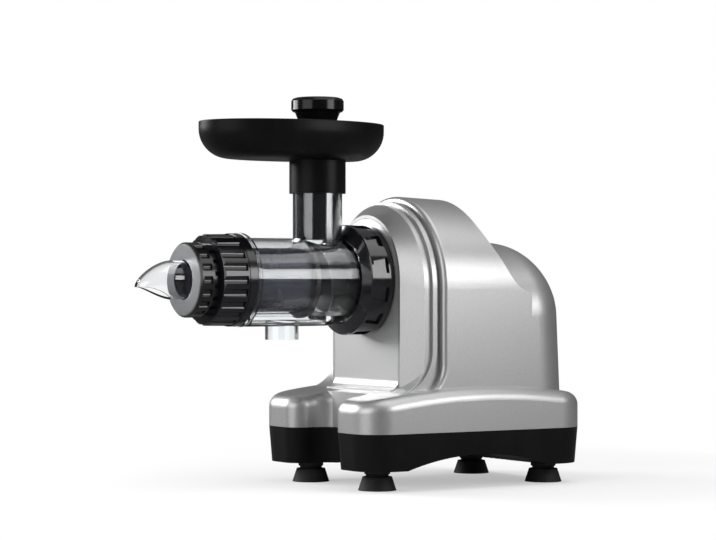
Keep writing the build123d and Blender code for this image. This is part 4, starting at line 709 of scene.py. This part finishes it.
# %% Grow the six sets
X_AXIS = 0
Z_AXIS = 2
HEAD_TURNS = {(X_AXIS, True): (0.0, math.pi / 2, 0.0), (X_AXIS, False): (0.0, -math.pi / 2, 0.0),
              (Z_AXIS, True): (0.0, 0.0, 0.0), (Z_AXIS, False): (math.pi, 0.0, 0.0)}
THREAD_SHARE = 0.6           # of the length, up to the longest thread
THREAD_LONGEST = 14.0 * MM
SCREW_SETS = ("foot_screws", "housing_screws", "seat_screws", "gearbox_screws", "motor_bolts",
              "mount_screws")

for node in SCREW_SETS:
    found = [measure_screw(solid) for solid in loose_solids(node)]
    seats = [seat for seat, _, _ in found]
    _, way, sizes = found[0]
    length = sizes["Length"]
    sizes["Thread Length"] = min(THREAD_LONGEST, THREAD_SHARE * length)
    sizes["Pitch"] = SCREW_SIZES["Pitch"]
    sizes["Turn"] = HEAD_TURNS[way]
    piece = grow(node + "_threaded", SCREW_TREE, seats, sizes, "base", node)
    print(node, len(seats), "screws,", round(length / MM, 1), "mm long,", len(piece.data.polygons), "faces")

# %% [markdown]
# ## Ball bearings
# Each bearing is two races and a row of balls between them.  The races are rectangles swept round a circle,
# and the balls stand on the corners of a circle of points.

# %% A bearing from its sizes
BEARING_SIZES = {"Outer Radius": 11 * MM, "Bore Radius": 4 * MM, "Width": 7 * MM, "Balls": 9,
                 "Turn": (0.0, 0.0, 0.0)}
RACE_SHARE = 0.26            # a race's wall, as a share of the space from the bore to the outer edge
BALL_SHARE = 0.27            # a ball's radius, as a share of the same


def race(wire, radius, wall, width):
    """A rectangle swept round a circle."""
    path = wire.add("GeometryNodeCurvePrimitiveCircle", {}, {"Resolution": 64, "Radius": radius})
    section = wire.add("GeometryNodeCurvePrimitiveQuadrilateral", {}, {"Width": wall, "Height": width})
    return wire.add("GeometryNodeCurveToMesh", {}, {"Curve": path, "Profile Curve": section})


def bearing_tree(material):
    """Two races and the balls between them, about an upright axis at the seat."""
    wire, size = tree_with("bearing", BEARING_SIZES)
    outer, bore = size["Outer Radius"], size["Bore Radius"]
    wall = (outer - bore) * RACE_SHARE
    circle = wire.add("GeometryNodeMeshCircle", {}, {"Vertices": size["Balls"],
                                                     "Radius": (outer + bore) * 0.5})
    ball = wire.add("GeometryNodeMeshUVSphere", {}, {"Segments": 24, "Rings": 12,
                                                     "Radius": (outer - bore) * BALL_SHARE})
    balls = wire.add("GeometryNodeInstanceOnPoints", {}, {"Points": circle, "Instance": ball})
    parts = [race(wire, outer - wall * 0.5, wall, size["Width"]),
             race(wire, bore + wall * 0.5, wall, size["Width"]), balls]
    whole = wire.add("GeometryNodeJoinGeometry", {}, {"Geometry": parts})
    return close_tree(wire, whole, size["Seats"], size["Turn"], material)


BEARING_TREE = bearing_tree(metal("race_steel", (0.62, 0.62, 0.64), 0.2))
print("bearing tree", len(BEARING_TREE.nodes), "nodes")

# %% Grow the four bearings
for node in ("output_bearing_front", "output_bearing_rear", "motor_bearing_front",
             "motor_bearing_rear"):
    solid = loose_solids(node)[0]
    low, high = solid.min(axis=0), solid.max(axis=0)
    middle = (low + high) / 2
    radius = np.hypot(*(solid[:, 1:] - middle[1:]).T)
    sizes = {"Outer Radius": float(radius.max()), "Bore Radius": float(radius.min()),
             "Width": float(high[0] - low[0]), "Balls": BEARING_SIZES["Balls"],
             "Turn": HEAD_TURNS[X_AXIS, True]}
    piece = grow(node + "_balls", BEARING_TREE, [middle], sizes, "base", node)
    print(node, round(sizes["Outer Radius"] / MM, 2), round(sizes["Bore Radius"] / MM, 2), "mm")

# %% [markdown]
# ## Floor and light
# A white sweep under the machine, lit by four soft boxes.  The floor close to the feet is real and takes
# the shadow; further out it fades to plain white.  The world is white to the camera and through clear
# plastic, and in reflections it darkens low down, as a studio does outside the lit sweep.

# %% Which ray is asking
def rays(wire):
    """Whether a ray is the camera's own, has met a glossy reflection, or only came through clear plastic."""
    path = wire.add("LightPath").socket.node
    seen, glossy, through, reflected = [Wire(wire.tree, path.outputs[name]) for name in (
        "Is Camera Ray", "Is Glossy Ray", "Is Transmission Ray", "Glossy Depth")]
    reflected = reflected.clip()
    return seen, (glossy + through * reflected).clip(), through * (1.0 - reflected)


# %% Floor
FLOOR_HALF = 6.0
SWEEP_NEAR = 0.30            # where the floor starts to fade to plain white, and where it is white
SWEEP_FAR = 0.75
SHADOW_LIFT = 0.45           # how much of the shadow the white sweep fills in
MIRRORED_LIFT = 0.85         # the same, where the floor is mirrored in the machine
FLOOR_SHEEN = 0.10           # how bright the filled-in floor is there
PAPER_WHITE = (0.93, 0.93, 0.93, 1.0)
PURE_WHITE = (1.0, 1.0, 1.0, 1.0)


def floor_paper():
    """White paper that takes the shadow near the machine and glows white further out."""
    material, wire = start("floor_white")
    x, y, _ = split(place(wire))
    seen, glossy, through = rays(wire)
    far = ((x * x + y * y) ** 0.5).ramp(SWEEP_NEAR, SWEEP_FAR)
    lift = (far + SHADOW_LIFT).clip() * (seen + through) + MIRRORED_LIFT * glossy
    paper = wire.add("BsdfDiffuse", {}, {"Color": PAPER_WHITE})
    white = wire.add("Emission", {}, {"Color": PURE_WHITE,
                                      "Strength": seen + through + glossy * FLOOR_SHEEN})
    mixed = wire.add("MixShader", {}, {"Fac": lift, 1: paper, 2: white})
    wire.add("OutputMaterial", {}, {"Surface": mixed})
    return material


floor_mesh = bpy.data.meshes.new("floor")
corners = [(-FLOOR_HALF, -FLOOR_HALF, 0), (FLOOR_HALF, -FLOOR_HALF, 0), (FLOOR_HALF, FLOOR_HALF, 0),
           (-FLOOR_HALF, FLOOR_HALF, 0)]
floor_mesh.from_pydata(corners, [], [(0, 1, 2, 3)])
floor_mesh.materials.append(floor_paper())
floor = new_piece("floor", floor_mesh)
print("floor", len(floor.data.polygons), "face")

# %% Soft boxes
MACHINE_MIDDLE = (0.05, 0.0, 0.17)
SOFT_BOXES = {               # place, aim, width and height in metres, and watts
    "top_box": ((0.22, -0.30, 1.10), MACHINE_MIDDLE, (1.0, 1.0), 5.0),
    "left_box": ((-1.10, -0.25, 0.46), MACHINE_MIDDLE, (0.9, 0.9), 5.5),
    "side_box": ((0.42, -0.80, 0.42), (0.05, 0.0, 0.34), (0.5, 0.4), 3.6),
    "far_box": ((-0.75, 1.05, 0.65), (0.0, 0.0, 0.26), (0.8, 0.6), 16.0),
}

for name, (at, aim, (width, height), watts) in SOFT_BOXES.items():
    light = bpy.data.lights.new(name, "AREA")
    light.shape = "RECTANGLE"
    light.size = width
    light.size_y = height
    light.energy = watts
    lamp = bpy.data.objects.new(name, light)
    bpy.context.scene.collection.objects.link(lamp)
    lamp.visible_camera = False
    lamp.location = at
    lamp.rotation_mode = "QUATERNION"
    lamp.rotation_quaternion = (Vector(aim) - Vector(at)).to_track_quat("-Z", "Y")
print("soft boxes", list(SOFT_BOXES))

# %% The world
MIRRORED_LOW = 0.05          # how bright the studio is in a reflection, low down and high up
MIRRORED_RISE = 0.22
FILL = 0.30                  # what the studio's walls add to the light on the machine


def make_world():
    world = bpy.data.worlds.new("studio")
    world.use_nodes = True
    world.node_tree.nodes.clear()
    wire = Wire(world.node_tree)
    seen, glossy, through = rays(wire)
    _, _, up = split(wire.add("TexCoord", out="Generated"))
    sheen = MIRRORED_LOW + MIRRORED_RISE * up.ramp(0.0, 0.9)
    white = (seen + through).clip()
    strength = white + (1.0 - white) * (glossy * sheen + (1.0 - glossy) * FILL)
    background = wire.add("Background", {}, {"Color": PURE_WHITE, "Strength": strength})
    wire.add("OutputWorld", {}, {"Surface": background})
    return world


bpy.context.scene.world = make_world()
print("world", bpy.context.scene.world.name)

# %% [markdown]
# ## Camera
# The machine is seen level, from two metres away with a long lens, turned so that the drum points to the
# left and towards us.  The lens is shifted up by a small share of the frame in place of tilting the camera,
# so that uprights stay upright.

# %% Camera
FRAME_WIDTH = 716            # pixels, as are the two below
LENS_PIXELS = 2383.0         # the lens's focal length
HORIZON_DROP = 10.0          # the horizon lies this far below the frame's middle
SENSOR_WIDTH = 36.0
CAMERA_AT = (-1.0407, -1.6754, 0.170)
CAMERA_TURN = -32.2

camera_data = bpy.data.cameras.new("camera")
camera_data.sensor_width = SENSOR_WIDTH
camera_data.lens = LENS_PIXELS * SENSOR_WIDTH / FRAME_WIDTH
camera_data.shift_y = HORIZON_DROP / FRAME_WIDTH
camera = bpy.data.objects.new("camera", camera_data)
bpy.context.scene.collection.objects.link(camera)
camera.location = CAMERA_AT
camera.rotation_euler = (math.radians(90), 0, math.radians(CAMERA_TURN))
bpy.context.scene.camera = camera
bpy.context.scene.view_settings.view_transform = "Standard"
print("lens", round(camera_data.lens, 1), "mm")
